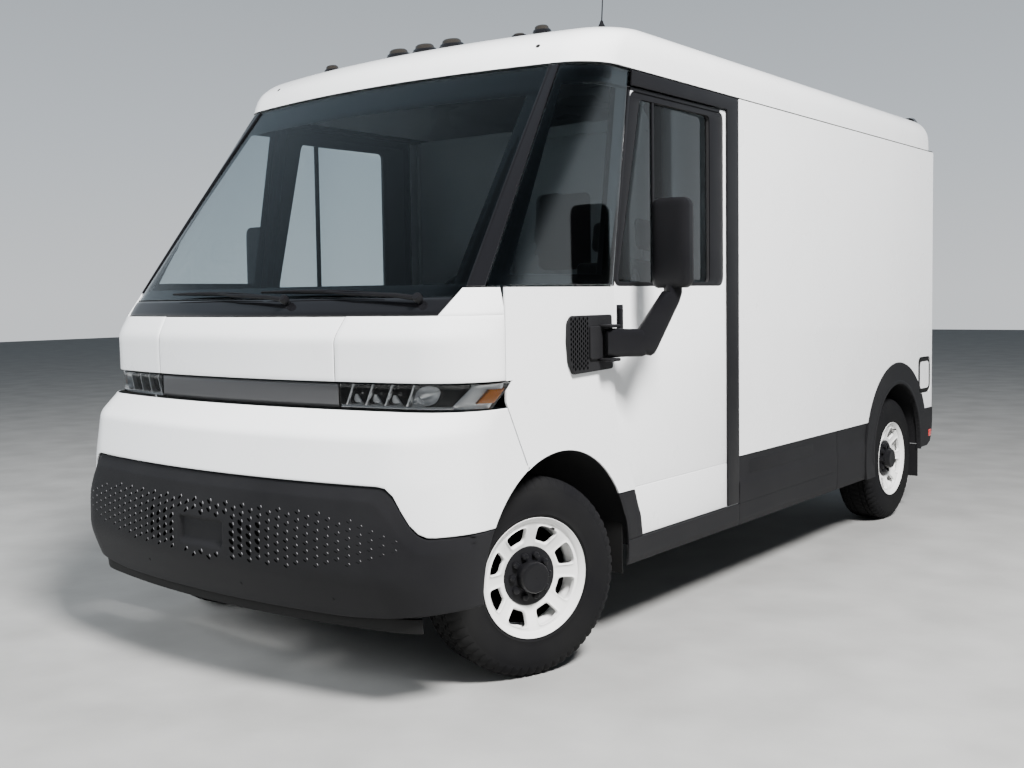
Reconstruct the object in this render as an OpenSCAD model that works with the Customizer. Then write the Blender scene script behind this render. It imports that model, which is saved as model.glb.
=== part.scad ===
// Electric step van for mail and parcel delivery.
// Millimetres. +Z is up, the truck faces -Y, +X is its left (driver's) side.
// The origin is on the ground, under the centre of the overall box.

/* [Overall] */
// Overall length, bumper to bumper
body_l = 5500; // [5400:10:5600]
// Overall width of the body without mirrors
body_w = 2210; // [2190:10:2230]
// Height of the seam between the side panels and the roof cap
roof_seam_z = 2464; // [2460:1:2470]
// Rise of the roof cap above its seam
roof_rise = 240; // [236:1:250]

/* [Running gear] */
// Distance between the axles
wheelbase = 3890; // [3880:5:3900]
// Distance of the front axle behind the nose
front_overhang = 860; // [850:5:870]
// Outer radius of the tyre
tyre_r = 398; // [390:1:400]
// Section width of the tyre
tyre_w = 245; // [225:5:255]
// Radius of the rim's flange
rim_r = 238; // [230:1:242]
// Distance from the centre plane to the middle of each tyre
track_half = 942; // [935:1:945]
// Steering angle at rest, negative is a right-hand lock
steer_rest = -20; // [-20:1:0]

/* [Doors] */
// Height of the belt line under the side windows
belt_z = 1542; // [1535:1:1550]
// Y of the cab door's rear edge at the pocket pillar
door_rear_y = -420; // [-425:1:-415]
// Thickness of the cab door
door_t = 36; // [30:1:38]

/* [Hidden] */
$fn = 48;

half_w = body_w / 2;
nose_y = -body_l / 2;
tail_y = body_l / 2;
front_axle_y = nose_y + front_overhang;
rear_axle_y = front_axle_y + wheelbase;
body_rear_y = tail_y - 85;
gap = 4;

// Wheel openings in the side
front_arch_y = front_axle_y + 50;
front_arch_z = tyre_r - 2;
front_arch_r = 497;
rear_arch_y = rear_axle_y - 20;
rear_arch_z = tyre_r + 67;
rear_arch_r = 430;
rear_flare_r = 570;

// Heights on the body side
sill_z = 338;
door_z = 450;
panel_z = 690;
window_top_z = roof_seam_z - 72;
cab_floor_z = 690;
floor_t = 30;

// Cab door: the outer skin of the door runs behind the side panel
skin_t = 9;
door_x = half_w - skin_t - gap;
pocket_y0 = door_rear_y;
pocket_y1 = -300;
inner_wall_x = door_x - door_t - 26;
inner_wall_t = 16;

// Nose: each strip of the front is a table of height against set-back, corner radius and half width.
// A section bows forward by bow*x*x and turns to the side through a quarter arc.
bow = 0.000119;
bumper_tab = [[[342, 64], [420, 30], [500, 0], [640, 0], [836, 30]], [[342, 300], [836, 330]],
    [[342, half_w], [836, half_w]]];
fascia_tab = [[[600, 20], [836, 36], [1000, 62], [1016, 74], [1094, 176]], [[600, 330], [1000,
    330], [1094, 270]], [[600, half_w], [1094, half_w]]];
bar_tab = [[[1090, 208], [1195, 208]], [[1090, 265], [1195, 265]], [[1090, half_w], [1195, half_w]]];
hood_tab = [[[1190, 192], [1350, 190], [1372, 197], [1440, 238], [1542, 320]], [[1190, 265], [1542,
    265]], [[1190, half_w], [1542, half_w]]];
glass_tab = [[[1440, 242], [2479, 1052]], [[1440, 265], [2479, 205]], [[1440, half_w], [2479,
    half_w - 8]]];

function corner_a(r, w) = atan(2 * bow * (w - r));
function corner_x(r, w) = w - r + r * sin(corner_a(r, w));
// Y at which the quarter arc meets the flat side
function side_y(t, z) =
    let (r = lookup(z, t[1]), w = lookup(z, t[2]), x = corner_x(r, w))
    nose_y + lookup(z, t[0]) + bow * x * x + r * cos(corner_a(r, w));
// Girth from the centre plane to that point
function side_u(t, z) =
    let (r = lookup(z, t[1]), w = lookup(z, t[2]))
    corner_x(r, w) + r * (90 - corner_a(r, w)) * PI / 180;
// Girth at which the skin reaches a given Y on the flat side
function girth_at(t, z, y) = side_u(t, z) + y - side_y(t, z);
// Point of the nose's skin at height z and girth u, set d below the surface
function skin(t, z, u, d) =
    let (
        r = lookup(z, t[1]), w = lookup(z, t[2]), a = corner_a(r, w), x = corner_x(r, w),
        g = abs(u), us = side_u(t, z), y0 = nose_y + lookup(z, t[0]),
        turn = g <= x ? atan(2 * bow * g) : min(90, a + (g - x) / r * 180 / PI),
        px = g <= x ? g : g < us ? w - r + r * sin(turn) : w,
        py = g <= x ? y0 + bow * g * g
            : g < us ? side_y(t, z) - r * cos(turn)
            : side_y(t, z) + g - us
    )
    [sign(u) * (px - d * sin(turn)), py + d * cos(turn), z];

// Closed shell over a grid of [girth, height] pairs, between depths d0 and d1
module skin_panel(t, grid, d0, d1) {
    m = len(grid);
    n = len(grid[0]);
    points = [for (d = [d0, d1]) for (i = [0:m - 1]) for (j = [0:n - 1]) skin(t, grid[i][j][1],
        grid[i][j][0], d)];
    function at(i, j, k) = (k * m + i) * n + j;
    faces = concat(
        [for (i = [0:m - 2]) for (j = [0:n - 2]) [at(i, j, 0), at(i, j + 1, 0), at(i + 1, j, 0)]],
        [for (i = [0:m - 2]) for (j = [0:n - 2]) [at(i, j + 1, 0), at(i + 1, j + 1, 0), at(i + 1,
            j, 0)]],
        [for (i = [0:m - 2]) for (j = [0:n - 2]) [at(i, j, 1), at(i + 1, j, 1), at(i, j + 1, 1)]],
        [for (i = [0:m - 2]) for (j = [0:n - 2]) [at(i, j + 1, 1), at(i + 1, j, 1), at(i + 1,
            j + 1, 1)]],
        [for (i = [0:m - 2]) for (j = [0, n - 1]) j == 0
            ? [at(i, j, 0), at(i + 1, j, 0), at(i + 1, j, 1), at(i, j, 1)]
            : [at(i, j, 0), at(i, j, 1), at(i + 1, j, 1), at(i + 1, j, 0)]],
        [for (j = [0:n - 2]) for (i = [0, m - 1]) i == 0
            ? [at(i, j, 0), at(i, j, 1), at(i, j + 1, 1), at(i, j + 1, 0)]
            : [at(i, j, 0), at(i, j + 1, 0), at(i, j + 1, 1), at(i, j, 1)]]
    );
    polyhedron(points, faces, convexity = 6);
}
// Grid from girth limits lo(z)..hi(z), given as rows [z, lo, hi]
function rows_grid(rows, n) =
    [for (i = [0:n]) [for (row = rows) [row[1] + (row[2] - row[1]) * i / n, row[0]]]];
function mix(a, b, s) = a + (b - a) * s;
function ease(s) = let (c = max(0, min(1, s))) c * c * (3 - 2 * c);

module both() {
    children();
    mirror([1, 0, 0]) children();
}
// Extrudes a drawing in the Y-Z plane from x0 to x1
module side_plate(x0, x1) {
    translate([x0, 0, 0]) rotate([90, 0, 90]) linear_extrude(x1 - x0) children();
}
// Extrudes a drawing in the X-Z plane from y0 to y1
module cross_plate(y0, y1) {
    translate([0, y1, 0]) rotate([90, 0, 0]) linear_extrude(y1 - y0) children();
}
module block(lo, hi) {
    translate(lo) cube(hi - lo);
}
module round_rect(lo, hi, r) {
    translate([lo[0] + r, lo[1]]) square([hi[0] - lo[0] - 2 * r, hi[1] - lo[1]]);
    translate([lo[0], lo[1] + r]) square([hi[0] - lo[0], hi[1] - lo[1] - 2 * r]);
    for (x = [lo[0] + r, hi[0] - r])
        for (y = [lo[1] + r, hi[1] - r])
            translate([x, y]) circle(r);
}
// Cylinder along X
module x_cyl(x0, x1, y, z, r) {
    translate([x0, y, z]) rotate([0, 90, 0]) cylinder(r = r, h = x1 - x0);
}

// ---- Chassis ----
rail_x = 420;
rail_z = [470, 600];
rail_wall = 8;
web_x = rail_x + 35 - rail_wall / 2;
module chassis_frame() {
    color([0.10, 0.10, 0.11]) union() {
        // Rails are channels, open to the middle
        both() difference() {
            block([rail_x - 35, -2480, rail_z[0]], [rail_x + 35, 2600, rail_z[1]]);
            block([rail_x - 36, -2481, rail_z[0] + rail_wall], [rail_x + 35 - rail_wall, 2601,
                rail_z[1] - rail_wall]);
        }
        for (y = [-2480, -1150, -350, 450, 1250, 2530])
            block([-web_x, y, rail_z[0] + 20], [web_x, y + 70, rail_z[1] - 20]);
        // Crash beam
        block([-760, -2560, 470], [760, -2480, 600]);
        // Outriggers under the cargo floor, and body mounts up to it
        both() for (y = [-250, 450, 1150]) {
            block([web_x, y, 560], [1015, y + 60, rail_z[1]]);
            block([940, y, rail_z[1] - 1], [1015, y + 60, cab_floor_z - floor_t]);
        }
        both() for (y = [-1250, 700, 2450]) block([rail_x - 30, y, rail_z[1] - 1], [rail_x + 30,
            y + 90, cab_floor_z - floor_t]);
        // Hangers of the leaf springs
        both() for (y = [1470, 2350]) block([web_x, y, 466], [645, y + 40, 560]);
    }
}
module battery_pack() {
    color([0.20, 0.21, 0.23]) union() {
        block([-720, -1050, 290], [720, 1330, 438]);
        block([-660, -1000, 262], [660, 1280, 290]);
        for (i = [0:6]) block([-760, -980 + i * 360, 340], [760, -920 + i * 360, 420]);
    }
}
module front_subframe() {
    y = front_axle_y;
    color([0.13, 0.13, 0.14]) union() {
        block([-380, y - 60, 330], [380, y + 60, 400]);
        both() block([240, y - 260, 330], [300, y + 260, 400]);
        // Drive motor and gearbox
        x_cyl(-230, 150, y + 20, 500, 130);
        x_cyl(149, 260, y, 480, 150);
        // Lower control arms end in a ball joint under each knuckle
        both() block([280, y - 160, 300], [420, y + 160, 345]);
        both() block([300, y - 30, 300], [850, y + 30, 325]);
        // Posts up to the rails
        both() for (d = [-150, 100]) block([390, y + d, 340], [420, y + d + 50, rail_z[0]]);
        // Steering rack behind the motor
        x_cyl(-600, 600, y + 205, 365, 20);
    }
}
module arch_cyl(x0, x1, y, z, r) {
    translate([x0, y, z]) rotate([0, 90, 0]) cylinder(r = r, h = x1 - x0, $fn = 144);
}
module floor_pan() {
    color([0.30, 0.31, 0.32]) difference() {
        union() {
            block([-1020, -2150, cab_floor_z - floor_t], [1020, body_rear_y - 40, cab_floor_z]);
            // Firewall ahead of the pedals
            block([-1000, -2160, cab_floor_z - floor_t], [1000, -2150, 1055]);
            // Step wells at both doors
            both() block([700, -1225, door_z - 5], [1040, -480, door_z + 15]);
            both() block([700, -1225, door_z - 5], [716, -480, cab_floor_z]);
            both() block([700, -1237, door_z - 5], [1020, -1225, cab_floor_z]);
            both() block([700, -480, door_z - 5], [1020, -468, cab_floor_z]);
        }
        both() block([716, -1225, door_z + 15], [1100, -480, cab_floor_z + 50]);
        both() arch_cyl(560, half_w, front_arch_y, front_arch_z, front_arch_r + 19);
        both() arch_cyl(690, half_w, rear_arch_y, rear_arch_z, rear_arch_r + 19);
        // Shelf bolts through the cargo floor, four beside each wall
        both() for (x = [830, 930]) for (y = [100, 1000]) translate([x, y, 600]) cylinder(r = 5.5,
            h = 200);
    }
}
module half_tub(x0, x1, y, z, r, t, low) {
    difference() {
        arch_cyl(x0, x1, y, z, r);
        arch_cyl(x0 + t, x1 + 1, y, z, r - t);
        block([x0 - 1, y - r - 1, z - r - 1], [x1 + 2, y + r + 1, z - low]);
    }
}
module wheelhouses() {
    color([0.08, 0.08, 0.085]) {
        both() half_tub(570, half_w - 12, front_arch_y, front_arch_z, front_arch_r + 18, 10, -30);
        both() half_tub(700, half_w - 12, rear_arch_y, rear_arch_z, rear_arch_r + 18, 10, 10);
        // Mud flaps behind the rear wheels
        both() block([800, 2416, 228], [half_w - 14, 2424, 450]);
    }
}

// ---- Cargo body ----
module cargo_liners() {
    color([0.78, 0.79, 0.80]) {
        // Bulkhead with its doorway
        cross_plate(pocket_y1 + 20, pocket_y1 + 50) difference() {
            translate([-1025, cab_floor_z + 0.5]) square([2050, 1750]);
            translate([-330, cab_floor_z - 1]) square([660, 1691]);
        }
        both() side_plate(inner_wall_x, inner_wall_x + inner_wall_t) difference() {
            translate([pocket_y1 + 2, cab_floor_z + 2]) square([body_rear_y - 45 - pocket_y1, 1740]);
            translate([rear_arch_y, rear_arch_z]) circle(rear_arch_r + 22, $fn = 144);
        }
    }
}
module bulkhead_door() {
    color([0.72, 0.73, 0.75]) union() {
        cross_plate(pocket_y1 + 58, pocket_y1 + 82) difference() {
            translate([-370, cab_floor_z + 12]) square([740, 1710]);
            translate([-180, 1650]) round_rect([0, 0], [360, 420], 40);
        }
        for (z = [1430, 1560]) translate([300, pocket_y1 + 81, z]) rotate([-90, 0, 0])
            cylinder(r = 9, h = 32);
        block([290, pocket_y1 + 112, 1410], [310, pocket_y1 + 124, 1580]);
    }
}
module side_outline() {
    translate([pocket_y1 + 2, panel_z]) square([body_rear_y - pocket_y1 - 2,
        roof_seam_z - 3 - panel_z]);
}
charge_lo = [2382, 800];
charge_hi = [2632, 1050];
module side_panels() {
    color([0.92, 0.92, 0.93]) {
        side_plate(half_w - skin_t, half_w) difference() {
            side_outline();
            translate([rear_arch_y, rear_arch_z]) circle(rear_flare_r + 3, $fn = 144);
            round_rect(charge_lo, charge_hi, 44);
        }
        mirror([1, 0, 0]) side_plate(half_w - skin_t, half_w) difference() {
            side_outline();
            translate([rear_arch_y, rear_arch_z]) circle(rear_flare_r + 3, $fn = 144);
        }
    }
}
// Recessed black housing of the charging inlet, behind its flap
module charge_socket() {
    lo = charge_lo + [2, 2];
    hi = charge_hi - [2, 2];
    color([0.05, 0.05, 0.055]) difference() {
        side_plate(half_w - 57, half_w - 6) round_rect(lo, hi, 42);
        side_plate(half_w - 51, half_w + 1) round_rect(lo + [26, 26], hi - [26, 26], 22);
    }
    color([0.05, 0.05, 0.055]) difference() {
        x_cyl(half_w - 52, half_w - 30, (lo[0] + hi[0]) / 2, (lo[1] + hi[1]) / 2, 44);
        for (a = [0, 120, 240])
            x_cyl(half_w - 44, half_w - 20, (lo[0] + hi[0]) / 2 + 20 * cos(a), (lo[1] + hi[1])
                / 2 + 20 * sin(a), 8);
    }
}

// Roof cap: stacked rings [height above seam, side inset, front set-back, rear inset]
roof_rings = [
    [3, 0, 1040, 0], [66, 0, 1062, 0], [120, 6, 1109, 6], [172, 30, 1204, 26],
    [208, 80, 1377, 64], [230, 180, 1700, 150], [roof_rise, 380, 1950, 330]
];
function half_ring(q, t) =
    let (
        w = half_w - q[1] - t, z = roof_seam_z + q[0] - (q[0] > 50 ? t : 0), r = 215 - q[1] * 0.2,
        y0 = nose_y + q[2] + t * 1.2, y1 = body_rear_y - q[3] - t, rr = 120 + q[3] * 0.3,
        a = corner_a(r, w), x = corner_x(r, w), yc = y0 + bow * x * x + r * cos(a)
    )
    concat(
        [for (i = [0:10]) [x * i / 10, y0 + bow * pow(x * i / 10, 2), z]],
        [for (i = [1:8]) let (b = a + (90 - a) * i / 8) [w - r + r * sin(b), yc - r * cos(b), z]],
        [for (i = [1:6]) [w, mix(yc, y1 - rr, i / 6), z]],
        [for (i = [1:5]) [w - rr + rr * cos(18 * i), y1 - rr + rr * sin(18 * i), z]],
        [for (i = [1:4]) [(w - rr) * (1 - i / 5), y1, z]]
    );
function full_ring(q, t) =
    let (h = half_ring(q, t), n = len(h))
    concat(h, [[0, h[n - 1][1], h[0][2]]], [for (i = [n - 1:-1:1]) [-h[i][0], h[i][1], h[i][2]]]);
module roof_cap() {
    shell = 10;
    rings = concat(
        [for (q = roof_rings) full_ring(q, 0)],
        [for (k = [len(roof_rings) - 1:-1:0]) full_ring(roof_rings[k], shell)]
    );
    n = len(rings[0]);
    m = len(rings);
    top = len(roof_rings) - 1;
    side = [for (k = [0:m - 1]) if (k != top) for (i = [0:n - 1])
        let (l = (k + 1) % m, j = (i + 1) % n)
        [k * n + i, k * n + j, l * n + j, l * n + i]];
    caps = [[for (i = [0:n - 1]) top * n + i], [for (i = [n - 1:-1:0]) (top + 1) * n + i]];
    color([0.93, 0.93, 0.94])
        polyhedron([for (ring = rings) each ring], [for (f = concat(side, caps)) [for (k = [len(f)
            - 1:-1:0]) f[k]]], convexity = 6);
}
door_open_x = 940;
module rear_frame() {
    color([0.90, 0.90, 0.91]) cross_plate(body_rear_y - 30, body_rear_y) difference() {
        round_rect([-half_w + skin_t + 1, panel_z - 66], [half_w - skin_t - 1, roof_seam_z - 2], 30);
        round_rect([-door_open_x, cab_floor_z + 6], [door_open_x, 2420], 20);
    }
}
rear_door_t = 36;
module rear_door_leaf() {
    y0 = body_rear_y + 2;
    union() {
        cross_plate(y0, y0 + rear_door_t) difference() {
            round_rect([3, cab_floor_z], [958, 2430], 24);
            round_rect([300, 1500], [760, 2060], 60);
        }
        // Handle and three hinge straps
        block([60, y0 + rear_door_t - 1, 1180], [100, y0 + rear_door_t + 14, 1420]);
        for (z = [900, 1560, 2240])
            block([800, y0 + rear_door_t - 1, z], [956, y0 + rear_door_t + 8, z + 70]);
    }
    // Window
    cross_plate(y0 + 8, y0 + 14) round_rect([301, 1501], [759, 2059], 59);
}
module left_rear_door() {
    color([0.92, 0.92, 0.93]) rear_door_leaf();
}
module right_rear_door() {
    color([0.92, 0.92, 0.93]) mirror([1, 0, 0]) rear_door_leaf();
}

// ---- Cab structure and glass ----
module cab_frame() {
    color([0.06, 0.06, 0.065]) {
        // Pocket pillar and door header
        both() side_plate(half_w - skin_t, half_w - 1) polygon([
            [pocket_y1, door_z + 4], [pocket_y1, roof_seam_z - 3], [-1290, roof_seam_z - 3],
            [-1296, window_top_z + 4], [pocket_y0, window_top_z + 4], [pocket_y0, door_z + 4]
        ]);
        // Front jamb behind the quarter glass
        both() side_plate(1040, half_w - 17) polygon([
            [-1500, 930], [-1458, 930], [-1458, belt_z], [-1315, roof_seam_z - 6],
            [-1357, roof_seam_z - 6], [-1500, belt_z]
        ]);
        // Upper door track
        both() block([inner_wall_x, -1300, 2436], [1086, 640, 2458]);
        // Windshield header
        block([-820, -1596, 2436], [820, -1556, 2460]);
        // A-pillar trims
        both() skin_panel(glass_tab, rows_grid([for (i = [0:6]) let (s = i / 6)
            [mix(1545, 2460, s), mix(1012, 909, s), mix(1080, 945, s)]], 4), 0, 26);
    }
}
function glass_u(z) = mix(1008, 903, (z - belt_z) / 937);
module windshield() {
    color([0.12, 0.15, 0.17, 0.6]) skin_panel(glass_tab, rows_grid([for (i = [0:5])
        let (z = mix(1512, 2464, i / 5))
        [z, -glass_u(z), glass_u(z)]], 24), 5, 11);
}
module cowl_panel() {
    color([0.05, 0.05, 0.055]) skin_panel(glass_tab, rows_grid([for (z = [1443, 1470, 1507])
        [z, -mix(952, 980, (z - 1443) / 64), mix(952, 980, (z - 1443) / 64)]], 24), 0, 14);
}
module quarter_glass() {
    color([0.12, 0.15, 0.17, 0.6]) both() skin_panel(glass_tab, rows_grid([for (i = [0:4])
        let (s = i / 4, z = mix(1547, 2458, s))
        [z, mix(1084, 951, s), girth_at(glass_tab, z, mix(-1452, -1300, s))]], 8), 2, 8);
}

// ---- Nose panels ----
hood_u = 543;
module hood() {
    color([0.93, 0.93, 0.94]) union() {
        skin_panel(hood_tab, rows_grid([for (z = [1194, 1272, 1350, 1372, 1406, 1438])
            let (u = hood_u - 2 + max(0, z - 1350) * 0.18) [z, -u, u]], 14), 0, 5);
    }
}
module upper_fascia() {
    rows = [for (z = [1194, 1272, 1350, 1372, 1406, 1438])
        [z, hood_u + 2 + max(0, z - 1350) * 0.18, girth_at(hood_tab, z, -2192)]];
    upper = [for (z = [1437, 1490, belt_z - 2])
        [z, mix(958, 1000, (z - 1437) / 103), girth_at(hood_tab, z, -2192)]];
    color([0.93, 0.93, 0.94]) both() union() {
        skin_panel(hood_tab, rows_grid(rows, 14), 0, 5);
        skin_panel(hood_tab, rows_grid(upper, 8), 0, 5);
    }
}
// Door's front edge below the belt, shared by the fender, trim and door
door_front = [[-1225, door_z], [-1245, 560], [-1285, 668], [-1345, 780], [-1410, 891], [-1438,
    1010], [-1447, 1160], [-1447, belt_z]];
door_top_front = [-1302, window_top_z];
module fenders() {
    seam = [[-2190, belt_z - 2], [-2190, 1112], [-2060, 860]];
    color([0.93, 0.93, 0.94]) both() side_plate(half_w - 8, half_w) difference() {
        polygon(concat(seam, [[-2060, 664], [-1290, 664]],
            [for (i = [2:6]) door_front[i] - [gap, 0]], [[-1451, belt_z - 2]]));
        translate([front_arch_y, front_arch_z]) circle(front_arch_r, $fn = 144);
        // Room for the headlight's swept-back end
        polygon([[-2300, 1088], [-2254, 1088], [-2232, 1114], [-2150, 1193], [-2300, 1193]]);
    }
}
module headlights() {
    rows = [for (z = [1094, 1118, 1188])
        [z, 550, girth_at(bar_tab, z, z < 1110 ? -2262 : mix(-2240, -2160, (z - 1118) / 70))]];
    color([0.75, 0.76, 0.78]) both() skin_panel(bar_tab, rows_grid(rows, 16), 0, 70);
}
module grille_bar() {
    color([0.35, 0.35, 0.36]) skin_panel(bar_tab, rows_grid([for (z = [1096, 1186]) [z, -546,
        546]], 14), 0, 22);
}
arch_gap_y = function (z) front_arch_y - sqrt(pow(front_arch_r, 2) - pow(z - front_arch_z, 2));
fascia_end = function (z) girth_at(fascia_tab, z, z > 860 ? mix(-2194, -2064, (1112 - z) / 252)
    : arch_gap_y(z));
// Top edge of the black bumper against its share of the half girth
bumper_top = function (s) mix(832, 650, ease((s - 0.56) / 0.23));
bumper_end = function (z) girth_at(bumper_tab, z, arch_gap_y(z));
function lower_grid(n, m, lo, hi, end) =
    [for (i = [-n:n]) let (s = abs(i) / n) [for (j = [0:m])
        let (z = mix(lo(s), hi(s), j / m)) [sign(i) * s * end(z), z]]];
module lower_fascia() {
    color([0.93, 0.93, 0.94]) skin_panel(fascia_tab,
        [for (i = [-22:22]) let (s = abs(i) / 22) [for (z = concat(
            [for (j = [0:2]) mix(bumper_top(s) + 4, 1000, j / 3)], [1000, 1016, 1055, 1092]))
            [sign(i) * s * fascia_end(z), z]]], 0, 5);
}
module front_bumper() {
    color([0.09, 0.09, 0.095]) skin_panel(bumper_tab,
        lower_grid(22, 6, function (s) mix(342, 384, ease((s - 0.5) * 2)), bumper_top, bumper_end),
            0, 8);
}
// ---- Side trims ----
module rocker_outline() {
    difference() {
        polygon([[-1500, sill_z], [rear_arch_y - 300, sill_z], [rear_arch_y - 300, panel_z - 3],
            [pocket_y1 + 2, panel_z - 3], [pocket_y1 + 2, door_z], [-1229, door_z], [-1249, 560],
            [-1289, 660], [-1500, 660]]);
        translate([front_arch_y, front_arch_z]) circle(front_arch_r, $fn = 144);
        translate([rear_arch_y, rear_arch_z]) circle(rear_flare_r + 2, $fn = 144);
    }
}
module rocker_trims() {
    color([0.09, 0.09, 0.095]) both() side_plate(half_w - skin_t, half_w + 2) rocker_outline();
}
module rear_arch_flares() {
    z0 = rear_arch_z;
    color([0.09, 0.09, 0.095]) for (side = [0, 1]) mirror([side, 0, 0]) side_plate(half_w - skin_t,
        half_w + 6) difference() {
        union() {
            translate([rear_arch_y, z0]) circle(rear_flare_r, $fn = 144);
            polygon([[rear_arch_y, z0], [2410, 430], [2560, 430], [2620, 455], [body_rear_y - 12, 520],
                [body_rear_y - 1, 600], [body_rear_y - 1, panel_z - 3], [rear_arch_y, panel_z - 3]]);
        }
        translate([rear_arch_y, z0]) circle(rear_arch_r, $fn = 144);
        translate([1300, sill_z - 1000]) square([1500, 1000]);
        polygon([[rear_arch_y, sill_z - 1], [rear_arch_y, 432], [2412, 429], [2800, 429], [2800,
            sill_z - 1]]);
        if (side == 0) round_rect(charge_lo, charge_hi, 44);
    }
}
module rear_bumper() {
    color([0.09, 0.09, 0.095]) difference() {
        union() {
            translate([0, 0, panel_z - 190]) linear_extrude(180)
                polygon([[-1050, body_rear_y + 6], [1050, body_rear_y + 6], [1040, tail_y - 26],
                    [1000, tail_y],
                    [-1000, tail_y], [-1040, tail_y - 26]]);
            both() block([380, 2602, 500], [440, body_rear_y + 7, 580]);
        }
        translate([-190, tail_y - 12, panel_z - 165]) cube([380, 20, 130]);
        for (x = [-88.9, 88.9]) translate([x, tail_y + 1, panel_z - 60]) rotate([90, 0, 0])
            cylinder(r = 3.5, h = 43);
    }
}
module tail_lamps() {
    color([0.65, 0.06, 0.05]) both() cross_plate(body_rear_y + 0.5, body_rear_y + 26)
        round_rect([972, 1080], [1074, 1380], 20);
}
// Low marker lamp, tilted to sit on the brow's slope
module lamp(x, y, z, r, h) {
    translate([x, y, z]) rotate([8, 0, 0]) union() {
        cylinder(r = r, h = h * 0.4);
        translate([0, 0, h * 0.4 - 1]) cylinder(r = r * 0.8, h = h * 0.6 + 1);
    }
}
// Five marker lamps, a small sensor beside them, and the high stop lamp's fairing over the rear doors
module roof_lamps() {
    color([0.05, 0.05, 0.055]) {
        for (i = [-1:1]) lamp(i * 170, -1370, roof_seam_z + 209.5, 60, 40);
        both() lamp(668, -1338, roof_seam_z + 208, 42, 34);
        lamp(540, -1338, roof_seam_z + 209, 34, 16);
        side_plate(-1010, 1010) translate([body_rear_y, roof_seam_z]) polygon([
            [1, 86], [-4, 121], [-24, 173], [-62, 209.5], [-148, 232], [-100, 240], [-30, 222],
                [14, 178], [30, 118], [26, 86]
        ]);
    }
}
module antenna() {
    color([0.05, 0.05, 0.05]) union() {
        translate([880, -1180, roof_seam_z + 218]) cylinder(r = 20, h = 22);
        translate([880, -1180, roof_seam_z + 237]) cylinder(r = 3, h = 248);
    }
}

// ---- Cab interior ----
seat_x = 480;
module dashboard() {
    color([0.11, 0.11, 0.12]) union() {
        difference() {
            side_plate(-1010, 1010) polygon([[-2150, 1140], [-1900, 1060], [-1840, 1180], [-1790, 1330],
                [-1850, 1410], [-2180, 1430], [-2280, 1420], [-2260, 1300]]);
            side_plate(-996, 996) polygon([[-2300, 1200], [-1915, 1080], [-1860, 1190], [-1812, 1328],
                [-1862, 1392], [-2300, 1404]]);
        }
        // Instrument hood and centre screen
        block([seat_x - 190, -1900, 1400], [seat_x + 190, -1850, 1545]);
        block([-90, -1850, 1290], [230, -1780, 1530]);
        // Steering column
        translate([seat_x, -1840, 1290]) rotate([-62, 0, 0]) cylinder(r = 34, h = 275);
    }
}
wheel_tilt = -62;
module steering_wheel() {
    color([0.08, 0.08, 0.085]) translate([seat_x, -1840, 1290]) rotate([wheel_tilt, 0, 0])
        translate([0, 0, 282]) union() {
        rotate_extrude() translate([190, 0]) circle(15);
        cylinder(r = 62, h = 34);
        for (a = [0, 180, 270]) rotate([0, 0, a]) translate([50, -16, 2]) cube([130, 32, 12]);
    }
}
// Driver's seat: fixed plinth with rails, sliding cushion, reclining back
module seat_base() {
    color([0.12, 0.12, 0.13]) union() {
        block([seat_x - 160, -1060, cab_floor_z + 1], [seat_x + 160, -640, cab_floor_z + 190]);
        for (x = [-150, 120]) block([seat_x + x, -1130, cab_floor_z + 189], [seat_x + x + 30, -560,
            cab_floor_z + 215]);
    }
}
module driver_seat() {
    color([0.10, 0.10, 0.11]) union() {
        translate([0, 0, cab_floor_z + 217]) linear_extrude(150) round_rect([seat_x - 235, -1130],
            [seat_x + 235, -640], 60);
        both_at(seat_x) block([238, -720, cab_floor_z + 260], [252, -590, cab_floor_z + 400]);
        both_at(seat_x) block([220, -720, cab_floor_z + 260], [239, -660, cab_floor_z + 320]);
    }
}
module both_at(x) {
    translate([x, 0, 0]) both() children();
}
back_pivot = [-610, cab_floor_z + 375];
module seat_back() {
    color([0.10, 0.10, 0.11]) translate([seat_x, back_pivot[0], back_pivot[1]]) rotate([-10, 0, 0])
        union() {
        cross_plate(-55, 55) round_rect([-225, 14], [225, 640], 90);
        cross_plate(-45, 45) round_rect([-130, 664], [130, 840], 60);
        for (x = [-60, 60]) translate([x, 0, 630]) cylinder(r = 7, h = 50);
    }
}
// Pedals hang from the firewall by an arm
pedal_pivot = [-2110, 1010];
module pedal(x, w) {
    translate([x, pedal_pivot[0], pedal_pivot[1]]) union() {
        x_cyl(-24, 24, 0, 0, 14);
        side_plate(-7, 7) polygon([[-12, 0], [12, 0], [70, -190], [60, -196], [44, -190]]);
        side_plate(-w / 2, w / 2) polygon([[50, -150], [62, -145], [96, -225], [84, -230]]);
    }
}
module brake_pedal() { color([0.12, 0.12, 0.12]) pedal(seat_x + 20, 90); }
module accelerator_pedal() { color([0.12, 0.12, 0.12]) pedal(seat_x - 110, 52); }

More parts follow.
